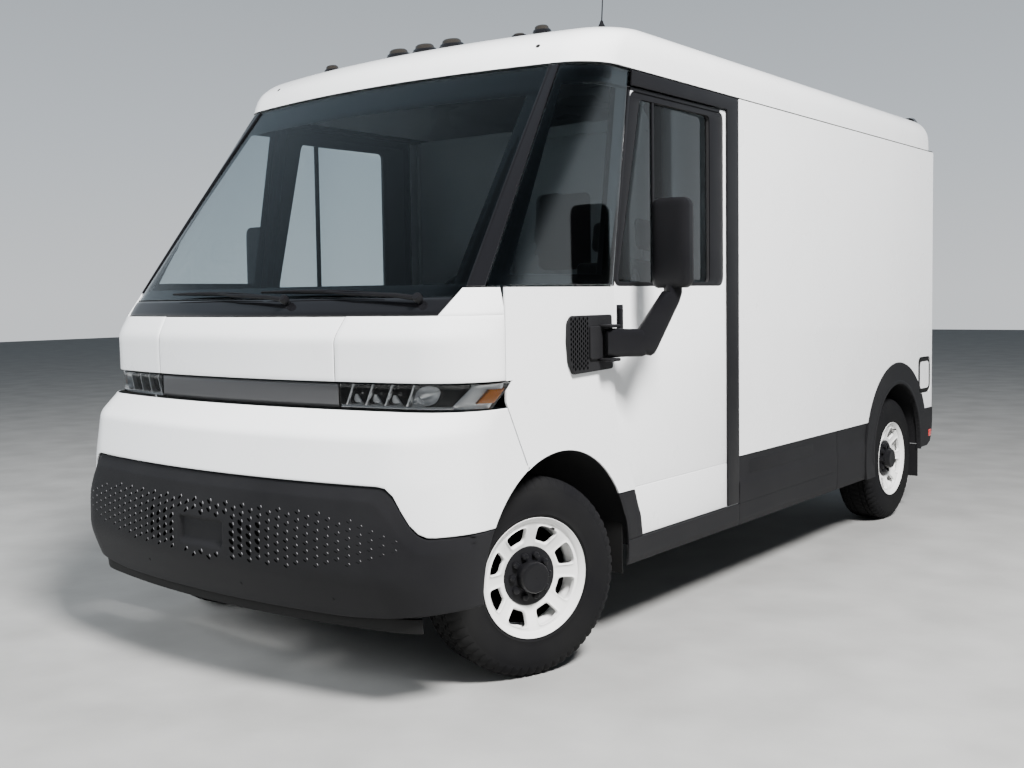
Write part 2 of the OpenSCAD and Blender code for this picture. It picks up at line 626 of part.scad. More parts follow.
// ---- Mirrors ----
mirror_pivot = [half_w + 52, -1560, 1310];
head_c = [1306, -1305, 1718];
module mirror_brackets() {
    p = mirror_pivot;
    color([0.07, 0.07, 0.075]) both() union() {
        side_plate(half_w + 0.5, half_w + 18) polygon([[-1805, 1400], [-1780, 1425], [-1490, 1425],
            [-1484, 1200], [-1770, 1190], [-1800, 1240], [-1810, 1320]]);
        for (z = [p[2] - 76, p[2] + 62]) {
            block([half_w + 17, p[1] - 34, z], [p[0], p[1] + 34, z + 14]);
            translate([p[0], p[1], z]) cylinder(r = 34, h = 14);
        }
    }
}
module mirror_body() {
    p = mirror_pivot;
    q = [head_c[0] - 2, head_c[1], 1512];
    bend = [p[0] + 86, p[1] + 128, p[2] - 4];
    union() {
        translate([p[0], p[1], p[2] - 60]) cylinder(r = 30, h = 120, $fn = 24);
        hull() {
            translate([p[0] + 6, p[1] + 8, p[2] - 58]) cylinder(r = 24, h = 116, $fn = 16);
            translate(bend - [0, 0, 56]) cylinder(r = 28, h = 112, $fn = 16);
        }
        hull() {
            translate(bend - [0, 0, 56]) cylinder(r = 28, h = 112, $fn = 16);
            translate(q) sphere(r = 38, $fn = 16);
        }
        translate(q) cylinder(r = 32, h = 44);
        difference() {
            hull() for (z = [head_c[2] - 160, head_c[2] + 160]) for (x = [-62, 62])
                translate([head_c[0] + x, head_c[1], z]) scale([1, 1.5, 1]) sphere(r = 28, $fn = 20);
            block([head_c[0] - 200, head_c[1] + 30, head_c[2] - 250], [head_c[0] + 200,
                head_c[1] + 100, head_c[2] + 250]);
            block([head_c[0] - 72, head_c[1] + 2, head_c[2] - 168], [head_c[0] + 72,
                head_c[1] + 100, head_c[2] + 168]);
        }
    }
}
module mirror_glass() {
    translate([head_c[0], 0, head_c[2]]) cross_plate(head_c[1] + 14, head_c[1] + 18)
        round_rect([-69, -160], [69, 160], 24);
    x_cyl(head_c[0] - 30, head_c[0] + 30, head_c[1] + 11.8, head_c[2], 2.4);
}
module left_mirror() { color([0.07, 0.07, 0.075]) mirror_body(); }
module right_mirror() { color([0.07, 0.07, 0.075]) mirror([1, 0, 0]) mirror_body(); }
module left_mirror_glass() { color([0.75, 0.78, 0.80]) mirror_glass(); }
module right_mirror_glass() { color([0.75, 0.78, 0.80]) mirror([1, 0, 0]) mirror_glass(); }

// ---- Cab doors ----
module door_outline() {
    polygon(concat(door_front, [door_top_front, [door_rear_y + 20, window_top_z],
        [door_rear_y + 20, door_z]]));
}
module window_outline(d) {
    x1 = -474 - d;
    z1 = window_top_z - 26 - d;
    polygon(concat([[x1, belt_z + 4 + d], [-1441 + d, belt_z + 4 + d], [-1300 + d, z1]],
        [for (i = [0:6]) [x1 - 60 + 60 * sin(15 * i), z1 - 60 + 60 * cos(15 * i)]]));
}
module cab_door() {
    union() {
        side_plate(door_x - door_t, door_x) difference() {
            door_outline();
            window_outline(0);
        }
        // Pull handle
        block([door_x - 1, -1400, 1320], [door_x + 11, -1372, 1450]);
    }
}
module door_glass() {
    side_plate(door_x - 12, door_x - 6) window_outline(2);
}
module left_cab_door() { color([0.93, 0.93, 0.94]) cab_door(); }
module right_cab_door() { color([0.93, 0.93, 0.94]) mirror([1, 0, 0]) cab_door(); }
module left_door_glass() { color([0.12, 0.15, 0.17, 0.6]) door_glass(); }
module right_door_glass() { color([0.12, 0.15, 0.17, 0.6]) mirror([1, 0, 0]) door_glass(); }
module charge_door() {
    color([0.93, 0.93, 0.94]) side_plate(half_w - 4, half_w) round_rect(charge_lo + [24, 24],
        charge_hi - [24, 24], 26);
}

// ---- Wipers: a straight arm and blade that turn about a tilted pivot over the curved glass ----
wiper_z = 1490; // height of the pivots
glass_slope = (1052 - 242) / (2479 - 1440); // set-back per height
wiper_tilt = 4.29; // the blade's plane leans this far towards the glass
function glass_turn(x) = atan(2 * bow * x);
function inward(x) = [-cos(glass_turn(x)), -sin(glass_turn(x)), 0];
function unit(v) = v / norm(v);
function outward(x) = unit([sin(glass_turn(x)), -cos(glass_turn(x)), glass_slope * cos(glass_turn(x))]);
function arm_way(x) = inward(x) * cos(wiper_tilt) - outward(x) * sin(wiper_tilt);
function axis_way(x) = outward(x) * cos(wiper_tilt) + inward(x) * sin(wiper_tilt);
// A point of the wiper at rest: a along the arm, b up the glass, c away from the glass
function wiper_at(x, a, b, c) = skin(glass_tab, wiper_z, x, 0)
    + a * arm_way(x) + b * cross(inward(x), outward(x)) + c * axis_way(x);
module bar_between(a, b, r) {
    hull() {
        translate(a) sphere(r = r, $fn = 12);
        translate(b) sphere(r = r, $fn = 12);
    }
}
blade_lift = 22; // from the glass at the pivot to the blade's middle line
blade_length = [180, 480, 800]; // where the blade starts, joins the arm and ends
module wiper(x) {
    elbow = wiper_at(x, 330, 33, blade_lift + 12);
    joint = wiper_at(x, blade_length[1], 63, blade_lift);
    color([0.05, 0.05, 0.05]) union() {
        hull() {
            translate(wiper_at(x, 0, 0, 16)) sphere(r = 14, $fn = 12);
            translate(wiper_at(x, 0, 2, blade_lift + 1)) sphere(r = 18, $fn = 12);
        }
        bar_between(wiper_at(x, 0, 2, blade_lift + 1), elbow, 9);
        bar_between(elbow, joint, 7);
        bar_between(wiper_at(x, blade_length[0], 38, blade_lift), joint, 8);
        bar_between(joint, wiper_at(x, blade_length[2], 89, blade_lift), 8);
    }
}
module left_wiper() { wiper(860); }
module right_wiper() { wiper(226); }

// ---- Wheels ----
module tyre() {
    w = tyre_w / 2;
    wall = 14;
    half = [
        [rim_r - 4, 14], [rim_r + 30, 2], [tyre_r - 85, 0], [tyre_r - 30, 8], [tyre_r - 8, 26],
            [tyre_r, 46]
    ];
    inner = [
        [rim_r - 3, 30], [rim_r + 30, 2 + wall], [tyre_r - 85, wall], [tyre_r - 36, 8 + wall],
        [tyre_r - 20, 28 + wall], [tyre_r - 14, 48 + wall]
    ];
    rotate([0, 90, 0]) rotate_extrude($fn = 96) polygon(concat(
        [for (q = half) [q[0], q[1] - w]],
        [for (i = [5:-1:0]) [half[i][0], w - half[i][1]]],
        [for (q = inner) [q[0], w - q[1]]],
        [for (i = [5:-1:0]) [inner[i][0], inner[i][1] - w]]
    ));
}
hub_r = 32;
module wheel() {
    rotate([0, 90, 0]) {
        difference() {
            rotate_extrude($fn = 96) polygon([
                [rim_r - 18, -tyre_w / 2 + 14.5], [rim_r - 4.5, -tyre_w / 2 + 14.5], [rim_r - 4.5,
                    tyre_w / 2 - 14.5], [rim_r, tyre_w / 2 - 8], [rim_r - 8, tyre_w / 2 - 4],
                [rim_r - 22, tyre_w / 2 - 20], [170, 84], [120, 66], [96, 62], [hub_r + 0.05, 62],
                    [hub_r + 0.05, 50], [120, 54], [168, 72], [rim_r - 22, 72], [rim_r - 22, 0]
            ]);
            for (i = [0:7]) rotate([0, 0, i * 45 + 22.5]) translate([0, 0, 30]) linear_extrude(100)
                polygon([[146, -27], [189, -40], [198, 0], [189, 40], [146, 27]]);
        }
        // Hub cover over the wheel nuts
        difference() {
            union() {
                translate([0, 0, 62.5]) cylinder(r = 106, h = 10);
                for (i = [0:9]) rotate([0, 0, i * 36]) translate([84, 0, 72]) cylinder(r = 14, h = 20);
                translate([0, 0, 72]) cylinder(r = 62, h = 52);
            }
            translate([0, 0, 60]) cylinder(r = 52, h = 54);
        }
    }
}
module place_front(side) {
    translate([side * kingpin_x, front_axle_y, 0]) rotate([0, 0, steer_rest])
        translate([side * (track_half - kingpin_x), 0, tyre_r]) rotate([0, 0, side < 0 ? 180 : 0])
            children();
}
module place_rear(side) {
    translate([side * track_half, rear_axle_y, tyre_r]) rotate([0, 0, side < 0 ? 180 : 0]) children();
}
kingpin_x = 890;
module front_left_tyre() { color([0.06, 0.06, 0.065]) place_front(1) tyre(); }
module front_right_tyre() { color([0.06, 0.06, 0.065]) place_front(-1) tyre(); }
module rear_left_tyre() { color([0.06, 0.06, 0.065]) place_rear(1) tyre(); }
module rear_right_tyre() { color([0.06, 0.06, 0.065]) place_rear(-1) tyre(); }
module front_left_wheel() { color([0.90, 0.90, 0.89]) place_front(1) wheel(); }
module front_right_wheel() { color([0.90, 0.90, 0.89]) place_front(-1) wheel(); }
module rear_left_wheel() { color([0.90, 0.90, 0.89]) place_rear(1) wheel(); }
module rear_right_wheel() { color([0.90, 0.90, 0.89]) place_rear(-1) wheel(); }
// Knuckle: spindle, brake disc and a steering arm, in the wheel's own frame
module knuckle() {
    x_cyl(-70, 61, 0, 0, hub_r);
    x_cyl(-60, -36, 0, 0, 165);
    x_cyl(-110, -70, 0, 0, 60);
    block([-100, -26, -60], [-60, 26, 130]);
}
module left_knuckle() { color([0.22, 0.22, 0.23]) place_front(1) knuckle(); }
module right_knuckle() { color([0.22, 0.22, 0.23]) place_front(-1) knuckle(); }
module rear_axle() {
    color([0.14, 0.14, 0.15]) union() {
        x_cyl(-track_half + 70, track_half - 70, rear_axle_y, tyre_r, 48);
        both() x_cyl(track_half - 80, track_half + 61, rear_axle_y, tyre_r, hub_r);
        both() x_cyl(track_half - 60, track_half - 36, rear_axle_y, tyre_r, 165);
        x_cyl(-160, 160, rear_axle_y, tyre_r, 120);
        // Leaf springs clamped on the tube
        both() block([560, rear_axle_y - 520, tyre_r + 46], [640, rear_axle_y + 380, tyre_r + 66]);
    }
}

chassis_frame();
battery_pack();
front_subframe();
floor_pan();
wheelhouses();
cargo_liners();
side_panels();
roof_cap();
cab_frame();
rear_frame();
windshield();
quarter_glass();
cowl_panel();
upper_fascia();
fenders();
headlights();
grille_bar();
lower_fascia();
front_bumper();
rocker_trims();
rear_arch_flares();
rear_bumper();
tail_lamps();
roof_lamps();
antenna();
dashboard();
mirror_brackets();
rear_axle();
charge_socket();
seat_base();
driver_seat();
seat_back();
brake_pedal();
accelerator_pedal();
left_mirror();
right_mirror();
left_mirror_glass();
right_mirror_glass();
left_cab_door();
right_cab_door();
left_door_glass();
right_door_glass();
left_rear_door();
right_rear_door();
hood();
charge_door();
left_wiper();
right_wiper();
steering_wheel();
bulkhead_door();
left_knuckle();
right_knuckle();
front_left_tyre();
front_right_tyre();
rear_left_tyre();
rear_right_tyre();
front_left_wheel();
front_right_wheel();
rear_left_wheel();
rear_right_wheel();
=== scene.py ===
"""Looks of an electric mail delivery truck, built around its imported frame. Metres; the truck faces -Y."""
import math

import bmesh
import bpy
from mathutils import Matrix, Vector


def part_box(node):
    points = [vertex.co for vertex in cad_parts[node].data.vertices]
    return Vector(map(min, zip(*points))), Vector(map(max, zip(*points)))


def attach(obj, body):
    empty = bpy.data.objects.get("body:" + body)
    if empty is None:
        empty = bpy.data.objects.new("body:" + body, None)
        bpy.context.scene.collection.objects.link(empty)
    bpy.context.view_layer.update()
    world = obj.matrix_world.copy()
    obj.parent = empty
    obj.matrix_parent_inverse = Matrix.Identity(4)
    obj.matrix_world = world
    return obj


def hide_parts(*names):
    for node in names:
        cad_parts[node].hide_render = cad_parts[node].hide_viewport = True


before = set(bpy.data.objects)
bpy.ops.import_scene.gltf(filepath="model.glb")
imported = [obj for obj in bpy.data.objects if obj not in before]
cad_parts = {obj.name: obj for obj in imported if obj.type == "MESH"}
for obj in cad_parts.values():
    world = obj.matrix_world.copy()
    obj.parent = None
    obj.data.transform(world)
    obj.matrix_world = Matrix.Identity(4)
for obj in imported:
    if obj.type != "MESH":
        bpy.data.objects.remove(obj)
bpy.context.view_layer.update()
BODY = "truck_body"

# ---- Driving dimensions, taken from the frame ----
HALF_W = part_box("side_panels")[1].x
NOSE_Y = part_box("front_bumper")[0].y
REAR_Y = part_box("side_panels")[1].y
SEAM_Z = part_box("side_panels")[1].z + 0.003
PANEL_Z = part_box("side_panels")[0].z
POCKET_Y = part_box("side_panels")[0].y - 0.002
DOOR_LO, DOOR_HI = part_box("left_cab_door")
SILL_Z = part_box("rocker_trims")[0].z
BELT_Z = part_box("quarter_glass")[0].z - 0.005
WINDOW_TOP = DOOR_HI.z
TYRE_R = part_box("rear_left_tyre")[1].z / 2
TYRE_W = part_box("rear_left_tyre")[1].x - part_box("rear_left_tyre")[0].x
REAR_AXLE = (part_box("rear_left_tyre")[0].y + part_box("rear_left_tyre")[1].y) / 2
TRACK = (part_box("rear_left_tyre")[0].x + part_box("rear_left_tyre")[1].x) / 2
RIM_R = TYRE_R - 0.160
POCKET_Y_FRONT = -0.420
KINGPIN, FRONT_AXLE, STEER = 0.890, -1.890, math.radians(-20)
ARCH_Y, ARCH_Z, ARCH_R = -1.840, TYRE_R - 0.002, 0.497
FLARE_Y, FLARE_Z, FLARE_R, FLARE_IN = REAR_AXLE - 0.020, TYRE_R + 0.067, 0.570, 0.430


# ---- Materials ----
def shader(name, color, rough, metal=0.0, coat=0.0, spec=0.5, transmission=0.0):
    m = bpy.data.materials.new(name)
    m.use_nodes = True
    sockets = m.node_tree.nodes["Principled BSDF"].inputs
    values = {"Base Color": (*color, 1), "Roughness": rough, "Metallic": metal, "Coat Weight": coat,
              "Coat Roughness": 0.05,
              "Specular IOR Level": spec, "Transmission Weight": transmission, "IOR": 1.45}
    for socket, value in values.items():
        sockets[socket].default_value = value
    return m


def node(m, kind, **values):
    n = m.node_tree.nodes.new(kind)
    for k, v in values.items():
        if k in n.inputs:
            n.inputs[k].default_value = v
        else:
            setattr(n, k, v)
    return n


def grain(m, scale, height, detail=3.0, rough=None, tint=None, distance=0.001):
    """Fine surface relief, with roughness and colour that vary over the surface."""
    link = m.node_tree.links.new
    sockets = m.node_tree.nodes["Principled BSDF"].inputs
    at = node(m, "ShaderNodeTexCoord").outputs["Object"]
    fine = node(m, "ShaderNodeTexNoise", Scale=scale, Detail=detail)
    bump = node(m, "ShaderNodeBump", Strength=height, Distance=distance)
    link(at, fine.inputs["Vector"])
    link(fine.outputs["Fac"], bump.inputs["Height"])
    link(bump.outputs["Normal"], sockets["Normal"])
    wide = node(m, "ShaderNodeTexNoise", Scale=2.3, Detail=4.0)
    link(at, wide.inputs["Vector"])
    if rough:
        reach = node(m, "ShaderNodeMapRange")
        reach.inputs["To Min"].default_value, reach.inputs["To Max"].default_value = rough
        link(wide.outputs["Fac"], reach.inputs["Value"])
        link(reach.outputs["Result"], sockets["Roughness"])
    if tint:
        ramp = node(m, "ShaderNodeValToRGB")
        for stop, place, color in zip(ramp.color_ramp.elements, (0.3, 0.7), tint):
            stop.position, stop.color = place, (*color, 1)
        link(wide.outputs["Fac"], ramp.inputs["Fac"])
        link(ramp.outputs["Color"], sockets["Base Color"])
    return m


def weave(name, color, pitch):
    """Two crossed sets of threads."""
    m = shader(name, color, 0.9)
    link = m.node_tree.links.new
    sockets = m.node_tree.nodes["Principled BSDF"].inputs
    sockets["Sheen Weight"].default_value = 0.3
    at = node(m, "ShaderNodeTexCoord").outputs["Object"]
    threads = []
    for direction in ("X", "Z"):
        wave = node(m, "ShaderNodeTexWave", Scale=1 / pitch / 6.28, Distortion=0.6)
        wave.bands_direction = direction
        link(at, wave.inputs["Vector"])
        threads.append(wave.outputs["Fac"])
    crossed = node(m, "ShaderNodeMath", operation="MULTIPLY")
    for thread, socket in zip(threads, crossed.inputs):
        link(thread, socket)
    bump = node(m, "ShaderNodeBump", Strength=0.5, Distance=0.001)
    link(crossed.outputs[0], bump.inputs["Height"])
    link(bump.outputs["Normal"], sockets["Normal"])
    ramp = node(m, "ShaderNodeValToRGB")
    for stop, k in zip(ramp.color_ramp.elements, (0.6, 1.5)):
        stop.color = (*[c * k for c in color], 1)
    link(crossed.outputs[0], ramp.inputs["Fac"])
    link(ramp.outputs["Color"], sockets["Base Color"])
    return m


WHITE = grain(shader("white_paint", (0.80, 0.81, 0.82), 0.28, coat=0.6), 900, 0.02, 2, (0.24, 0.32),
              ((0.79, 0.80, 0.81), (0.82, 0.83, 0.84)), 0.0005)
CLADDING = grain(shader("textured_cladding", (0.010, 0.010, 0.011), 0.6, spec=0.22), 1400, 0.35, 3,
                 (0.52, 0.66), ((0.008, 0.008, 0.009), (0.013, 0.013, 0.014)), 0.0008)
GLOSS = grain(shader("gloss_black", (0.006, 0.006, 0.007), 0.08, coat=0.8), 60, 0.004, 2, (0.05, 0.12))
SATIN = grain(shader("satin_black", (0.007, 0.007, 0.008), 0.4, spec=0.25), 700, 0.03, 3, (0.35, 0.48),
              ((0.005, 0.005, 0.006), (0.009, 0.009, 0.010)))
GLASS = grain(shader("tinted_glass", (0.80, 0.86, 0.88), 0.01, transmission=1.0, spec=0.4), 3, 0.004, 1)
DARK_GLASS = grain(shader("dark_glass", (0.66, 0.74, 0.77), 0.01, transmission=1.0, spec=0.4), 3, 0.004, 1)
SEAL = grain(shader("rubber_seal", (0.010, 0.010, 0.010), 0.7, spec=0.2), 1500, 0.2, 2, (0.62, 0.75))
TYRE = grain(shader("tyre_rubber", (0.008, 0.008, 0.009), 0.76, spec=0.15), 260, 0.18, 5, (0.68, 0.84),
             ((0.006, 0.006, 0.007), (0.012, 0.012, 0.012)))
RIM = grain(shader("wheel_paint", (0.78, 0.78, 0.77), 0.3, coat=0.3), 500, 0.03, 2, (0.25, 0.4),
            ((0.74, 0.74, 0.73), (0.80, 0.80, 0.79)), 0.0005)
STEEL = grain(shader("bare_steel", (0.35, 0.35, 0.36), 0.4, metal=1.0), 300, 0.1, 4, (0.3, 0.5))
BAR = grain(shader("bar_grey", (0.16, 0.16, 0.165), 0.32, metal=0.8), 60, 0.03, 2, (0.28, 0.4))
FRAME = grain(shader("frame_paint", (0.02, 0.02, 0.021), 0.5), 180, 0.2, 5, (0.42, 0.65),
              ((0.015, 0.015, 0.016), (0.035, 0.032, 0.030)))
ALLOY = grain(shader("cast_alloy", (0.32, 0.33, 0.34), 0.45, metal=0.9), 220, 0.15, 4, (0.38, 0.55))
FLOOR_GREY = grain(shader("floor_tread", (0.20, 0.205, 0.21), 0.5, metal=0.6), 90, 0.3, 2, (0.4, 0.6))
# The cargo liner and bulkhead are white, painted mid grey here because they sit in the shade inside the
# body: painted shade.
SHADED_LINER = grain(shader("liner_white", (0.50, 0.51, 0.52), 0.5), 200, 0.06, 3, (0.45, 0.6),
              ((0.47, 0.48, 0.49), (0.53, 0.54, 0.55)))
CAB = grain(shader("cab_plastic", (0.020, 0.020, 0.021), 0.55), 1100, 0.25, 3, (0.48, 0.62))
CLOTH = weave("seat_cloth", (0.022, 0.022, 0.025), 0.0018)
# Flat unlit black for sheets that stand in for the shade inside holes, dimples and the wheels' windows:
# painted shade.
SHADE_BLACK = shader("painted_shade_black", (0.001, 0.001, 0.001), 1.0, spec=0.0)
# Light grey for raised slivers at the bumper dimples' edges, where the sun catches the moulding: painted
# highlight.
HIGHLIGHT_GREY = grain(shader("painted_highlight_grey", (0.12, 0.12, 0.125), 0.35), 400, 0.02, 3, (0.3, 0.4),
                     ((0.10, 0.10, 0.105), (0.15, 0.15, 0.155)))
REFLECTOR = grain(shader("lamp_reflector", (0.80, 0.81, 0.83), 0.22, metal=0.55), 400, 0.02, 2, (0.16, 0.3))
LENS = grain(shader("clear_lens", (0.96, 0.97, 0.97), 0.01, transmission=1.0), 40, 0.01, 1)
AMBER = grain(shader("amber_lens", (0.95, 0.30, 0.02), 0.12, transmission=0.35, coat=0.5), 700, 0.1, 1,
              (0.1, 0.2))
RED = grain(shader("red_lens", (0.55, 0.015, 0.01), 0.12, transmission=0.25, coat=0.5), 700, 0.1, 1,
            (0.1, 0.2))
SMOKED = grain(shader("smoked_lens", (0.02, 0.018, 0.016), 0.1, coat=0.6), 500, 0.02, 2, (0.08, 0.16))
SCREEN = grain(shader("screen", (0.01, 0.012, 0.015), 0.08, coat=0.6), 80, 0.01, 1, (0.05, 0.1))
MIRROR = grain(shader("mirror_face", (0.85, 0.87, 0.88), 0.02, metal=1.0), 2, 0.002, 1)


# ---- Mesh helpers ----
def add(name, data):
    o = bpy.data.objects.new(name, data)
    bpy.context.collection.objects.link(o)
    return o


def as_mesh(name, part):
    me = bpy.data.meshes.new(name)
    me.from_pydata([tuple(v) for v in part[0]], [], part[1])
    return me


def evaluated(o):
    return bpy.data.meshes.new_from_object(o.evaluated_get(bpy.context.evaluated_depsgraph_get()))


def circle(n):
    return [(math.cos(2 * math.pi * k / n), math.sin(2 * math.pi * k / n)) for k in range(n)]


def squircle(n, power):
    """A circle pushed out towards the corners of its square."""
    return [(c * q, s * q) for c, s in circle(n)
            for q in [(abs(c) ** power + abs(s) ** power) ** (-1 / power)]]


def show(name, part, mat, angle=40, replaced=None, body=BODY, smooth=True):
    """Puts (verts, faces) in the scene on a body. Edges sharper than the angle stay sharp."""
    o = show_mesh(name, as_mesh(name, part), mat, angle, body, smooth)
    if replaced:
        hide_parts(replaced)
    return o


def show_mesh(name, me, mat, angle, body, smooth=True):
    bm = bmesh.new()
    bm.from_mesh(me)
    bmesh.ops.remove_doubles(bm, verts=bm.verts, dist=1e-6)
    bmesh.ops.recalc_face_normals(bm, faces=bm.faces)
    for f in bm.faces:
        f.smooth = smooth
    for e in bm.edges:
        if len(e.link_faces) == 2 and e.calc_face_angle(0) > math.radians(angle):
            e.smooth = False
    bm.to_mesh(me)
    bm.free()
    o = add(name, me)
    me.materials.append(mat)
    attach(o, body)
    return o


def merge(parts):
    """Joins (verts, faces) pairs."""
    verts, faces = [], []
    for v, f in parts:
        n = len(verts)
        verts += [tuple(p) for p in v]
        faces += [tuple(i + n for i in q) for q in f]
    return verts, faces


def flip_x(part):
    v, f = part
    return [(-p[0], p[1], p[2]) for p in v], [tuple(reversed(q)) for q in f]


def sided(part, side):
    return part if side > 0 else flip_x(part)


def both(part):
    return merge([part, flip_x(part)])


def rounded_box(lo, hi, r, n=3):
    bm = bmesh.new()
    bmesh.ops.create_cube(bm, size=1)
    lo, hi = Vector(lo), Vector(hi)
    for v in bm.verts:
        v.co = Vector(((lo[i] + hi[i]) / 2 + v.co[i] * (hi[i] - lo[i]) for i in range(3)))
    bmesh.ops.bevel(bm, geom=bm.edges[:], offset=r, segments=n, profile=0.5, affect="EDGES")
    return export_bm(bm)


def pair(make):
    """What make(side) gives for the right side and the left side, in one piece."""
    return merge([make(s) for s in (-1, 1)])


def export_bm(bm):
    bm.verts.ensure_lookup_table()
    part = [v.co.copy() for v in bm.verts], [tuple(v.index for v in f.verts) for f in bm.faces]
    bm.free()
    return part


def bands(count, n, rings=None):
    """The faces between count + 1 rings of n points. With rings given, the last ring joins the first."""
    rings = rings or count + 1
    return [(i * n + k, i * n + (k + 1) % n, (i + 1) % rings * n + (k + 1) % n, (i + 1) % rings * n + k)
            for i in range(count) for k in range(n)]


def end_caps(count, n):
    """One face over the first ring and one over the last."""
    return [tuple(range(n)), tuple(reversed(range((count - 1) * n, count * n)))]


def swept(count, m):
    """The faces of a closed profile of m points at count places, with both ends closed."""
    faces = [(i * m + j, (i + 1) * m + j, (i + 1) * m + (j + 1) % m, i * m + (j + 1) % m)
             for i in range(count - 1) for j in range(m)]
    return faces + end_caps(count, m)


def lathe(profile, n, where=lambda p: p):
    """Turns [(along, radius)] round the X axis."""
    verts = [where(Vector((a, r * c, r * s))) for a, r in profile for c, s in circle(n)]
    return verts, bands(len(profile) - 1, n)


def tube(points, radius, n=12):
    """A round bar along points, with closed ends. radius is a number or one per point."""
    points = [Vector(p) for p in points]
    radii = radius if isinstance(radius, (list, tuple)) else [radius] * len(points)
    verts = []
    side = None
    for i, p in enumerate(points):
        d = (points[min(i + 1, len(points) - 1)] - points[max(i - 1, 0)]).normalized()
        if side is None:
            side = d.cross(Vector((0, 0, 1)))
            side = side if side.length > 0.1 else d.cross(Vector((1, 0, 0)))
        side = (side - d * side.dot(d)).normalized()
        up = d.cross(side)
        verts += [p + (side * c + up * s) * radii[i] for c, s in circle(n)]
    return verts, bands(len(points) - 1, n) + end_caps(len(points), n)


def rounded(points, r, n=5):
    """A closed outline with its corners rounded."""
    out = []
    count = len(points)
    for i, p in enumerate(points):
        p = Vector(p)
        a, b = Vector(points[i - 1]) - p, Vector(points[(i + 1) % count]) - p
        reach = min(r, a.length * 0.45, b.length * 0.45)
        start, end = p + a.normalized() * reach, p + b.normalized() * reach
        for k in range(n + 1):
            s = k / n
            out.append(tuple(start * (1 - s) ** 2 + p * 2 * s * (1 - s) + end * s * s))
    return out


def rect(a0, a1, b0, b1):
    return [(a0, b0), (a0, b1), (a1, b1), (a1, b0)]


def plate(loops, t0, t1, bevel, plane):
    """A sheet between t0 and t1 with the given outlines, holes inside, its edges rounded.
    plane maps (a, b, t) to a point."""
    cu = bpy.data.curves.new("plate", "CURVE")
    cu.dimensions, cu.fill_mode = "2D", "BOTH"
    cu.extrude, cu.offset = (t1 - t0) / 2 - bevel, -bevel
    cu.bevel_depth, cu.bevel_resolution = bevel, 2
    for loop in loops:
        s = cu.splines.new("POLY")
        s.points.add(len(loop) - 1)
        for q, p in zip(s.points, loop):
            q.co = (p[0], p[1], 0, 1)
        s.use_cyclic_u = True
    o = add("plate", cu)
    me = evaluated(o)
    mid = (t0 + t1) / 2
    verts = [Vector(plane(v.co.x, v.co.y, mid + v.co.z)) for v in me.vertices]
    faces = [tuple(p.vertices) for p in me.polygons]
    bpy.data.objects.remove(o)
    bpy.data.curves.remove(cu)
    bpy.data.meshes.remove(me)
    return verts, faces


# ---- The nose's surface, by the same rule as the frame ----
BOW = 0.119


def table_at(rows, z, soft=0.0):
    """Straight lines between rows of (z, value); soft averages over a height, to round the corners."""
    if soft:
        return sum(table_at(rows, z + soft * k / 3) for k in range(-3, 4)) / 7
    if z <= rows[0][0]:
        return rows[0][1]
    for (z0, v0), (z1, v1) in zip(rows, rows[1:]):
        if z <= z1:
            return v0 + (v1 - v0) * (z - z0) / (z1 - z0)
    return rows[-1][1]


class Skin:
    """A band of the nose: set-back, corner radius and half width against height."""

    def __init__(self, back, radius, width=((0, HALF_W), (3, HALF_W)), soft=0.012):
        self.back, self.radius, self.width, self.soft = back, radius, width, soft

    def shape(self, z):
        r, w = table_at(self.radius, z), table_at(self.width, z)
        a = math.atan(2 * BOW * (w - r))
        x = w - r + r * math.sin(a)
        y0 = NOSE_Y + table_at(self.back, z, self.soft)
        side_y = y0 + BOW * x * x + r * math.cos(a)
        return r, w, a, x, y0, side_y, x + r * (math.pi / 2 - a)

    def girth(self, z, y):
        """The girth, from the middle round to the side, at which the side passes y."""
        s = self.shape(z)
        return s[6] + y - s[5]

    def at(self, z, u, d=0.0):
        """The point at height z and girth u, d below the surface."""
        r, w, a, x, y0, side_y, side_u = self.shape(z)
        g = abs(u)
        if g <= x:
            turn, px, py = math.atan(2 * BOW * g), g, y0 + BOW * g * g
        elif g < side_u:
            turn = a + (g - x) / r
            px, py = w - r + r * math.sin(turn), side_y - r * math.cos(turn)
        else:
            turn, px, py = math.pi / 2, w, side_y + g - side_u
        e = 0.002
        slope = (table_at(self.back, z + e, self.soft) - table_at(self.back, z - e, self.soft)) / (2 * e)
        slope *= math.cos(min(turn, math.pi / 2))
        n = Vector((math.sin(turn), -math.cos(turn), slope)).normalized()
        p = Vector((px, py, z)) - n * d
        return Vector((math.copysign(1, u) * p.x, p.y, p.z)) if u < 0 else p


# Rows of (height, value): first the set-back, then the corner radius, then the half width.
BUMPER = Skin(((0.342, 0.064), (0.420, 0.030), (0.500, 0), (0.640, 0), (0.836, 0.030)),
              ((0.342, 0.300), (0.836, 0.330)), soft=0.03)
FASCIA = Skin(((0.600, 0.020), (0.836, 0.036), (1.000, 0.062), (1.016, 0.074), (1.094, 0.176)),
              ((0.600, 0.330), (1.000, 0.330), (1.094, 0.270)), soft=0.014)
BARBAND = Skin(((1.09, 0.208), (1.195, 0.208)), ((1.09, 0.265), (1.195, 0.265)), soft=0)
HOOD = Skin(((1.19, 0.192), (1.35, 0.190), (1.372, 0.197), (1.44, 0.238), (1.542, 0.320)),
            ((1.19, 0.265), (1.542, 0.265)), soft=0.012)
SCREEN_SKIN = Skin(((1.40, 0.2108), (2.50, 1.0684)), ((1.44, 0.265), (2.479, 0.205)),
                   ((1.44, HALF_W), (2.479, HALF_W - 0.008)), soft=0)


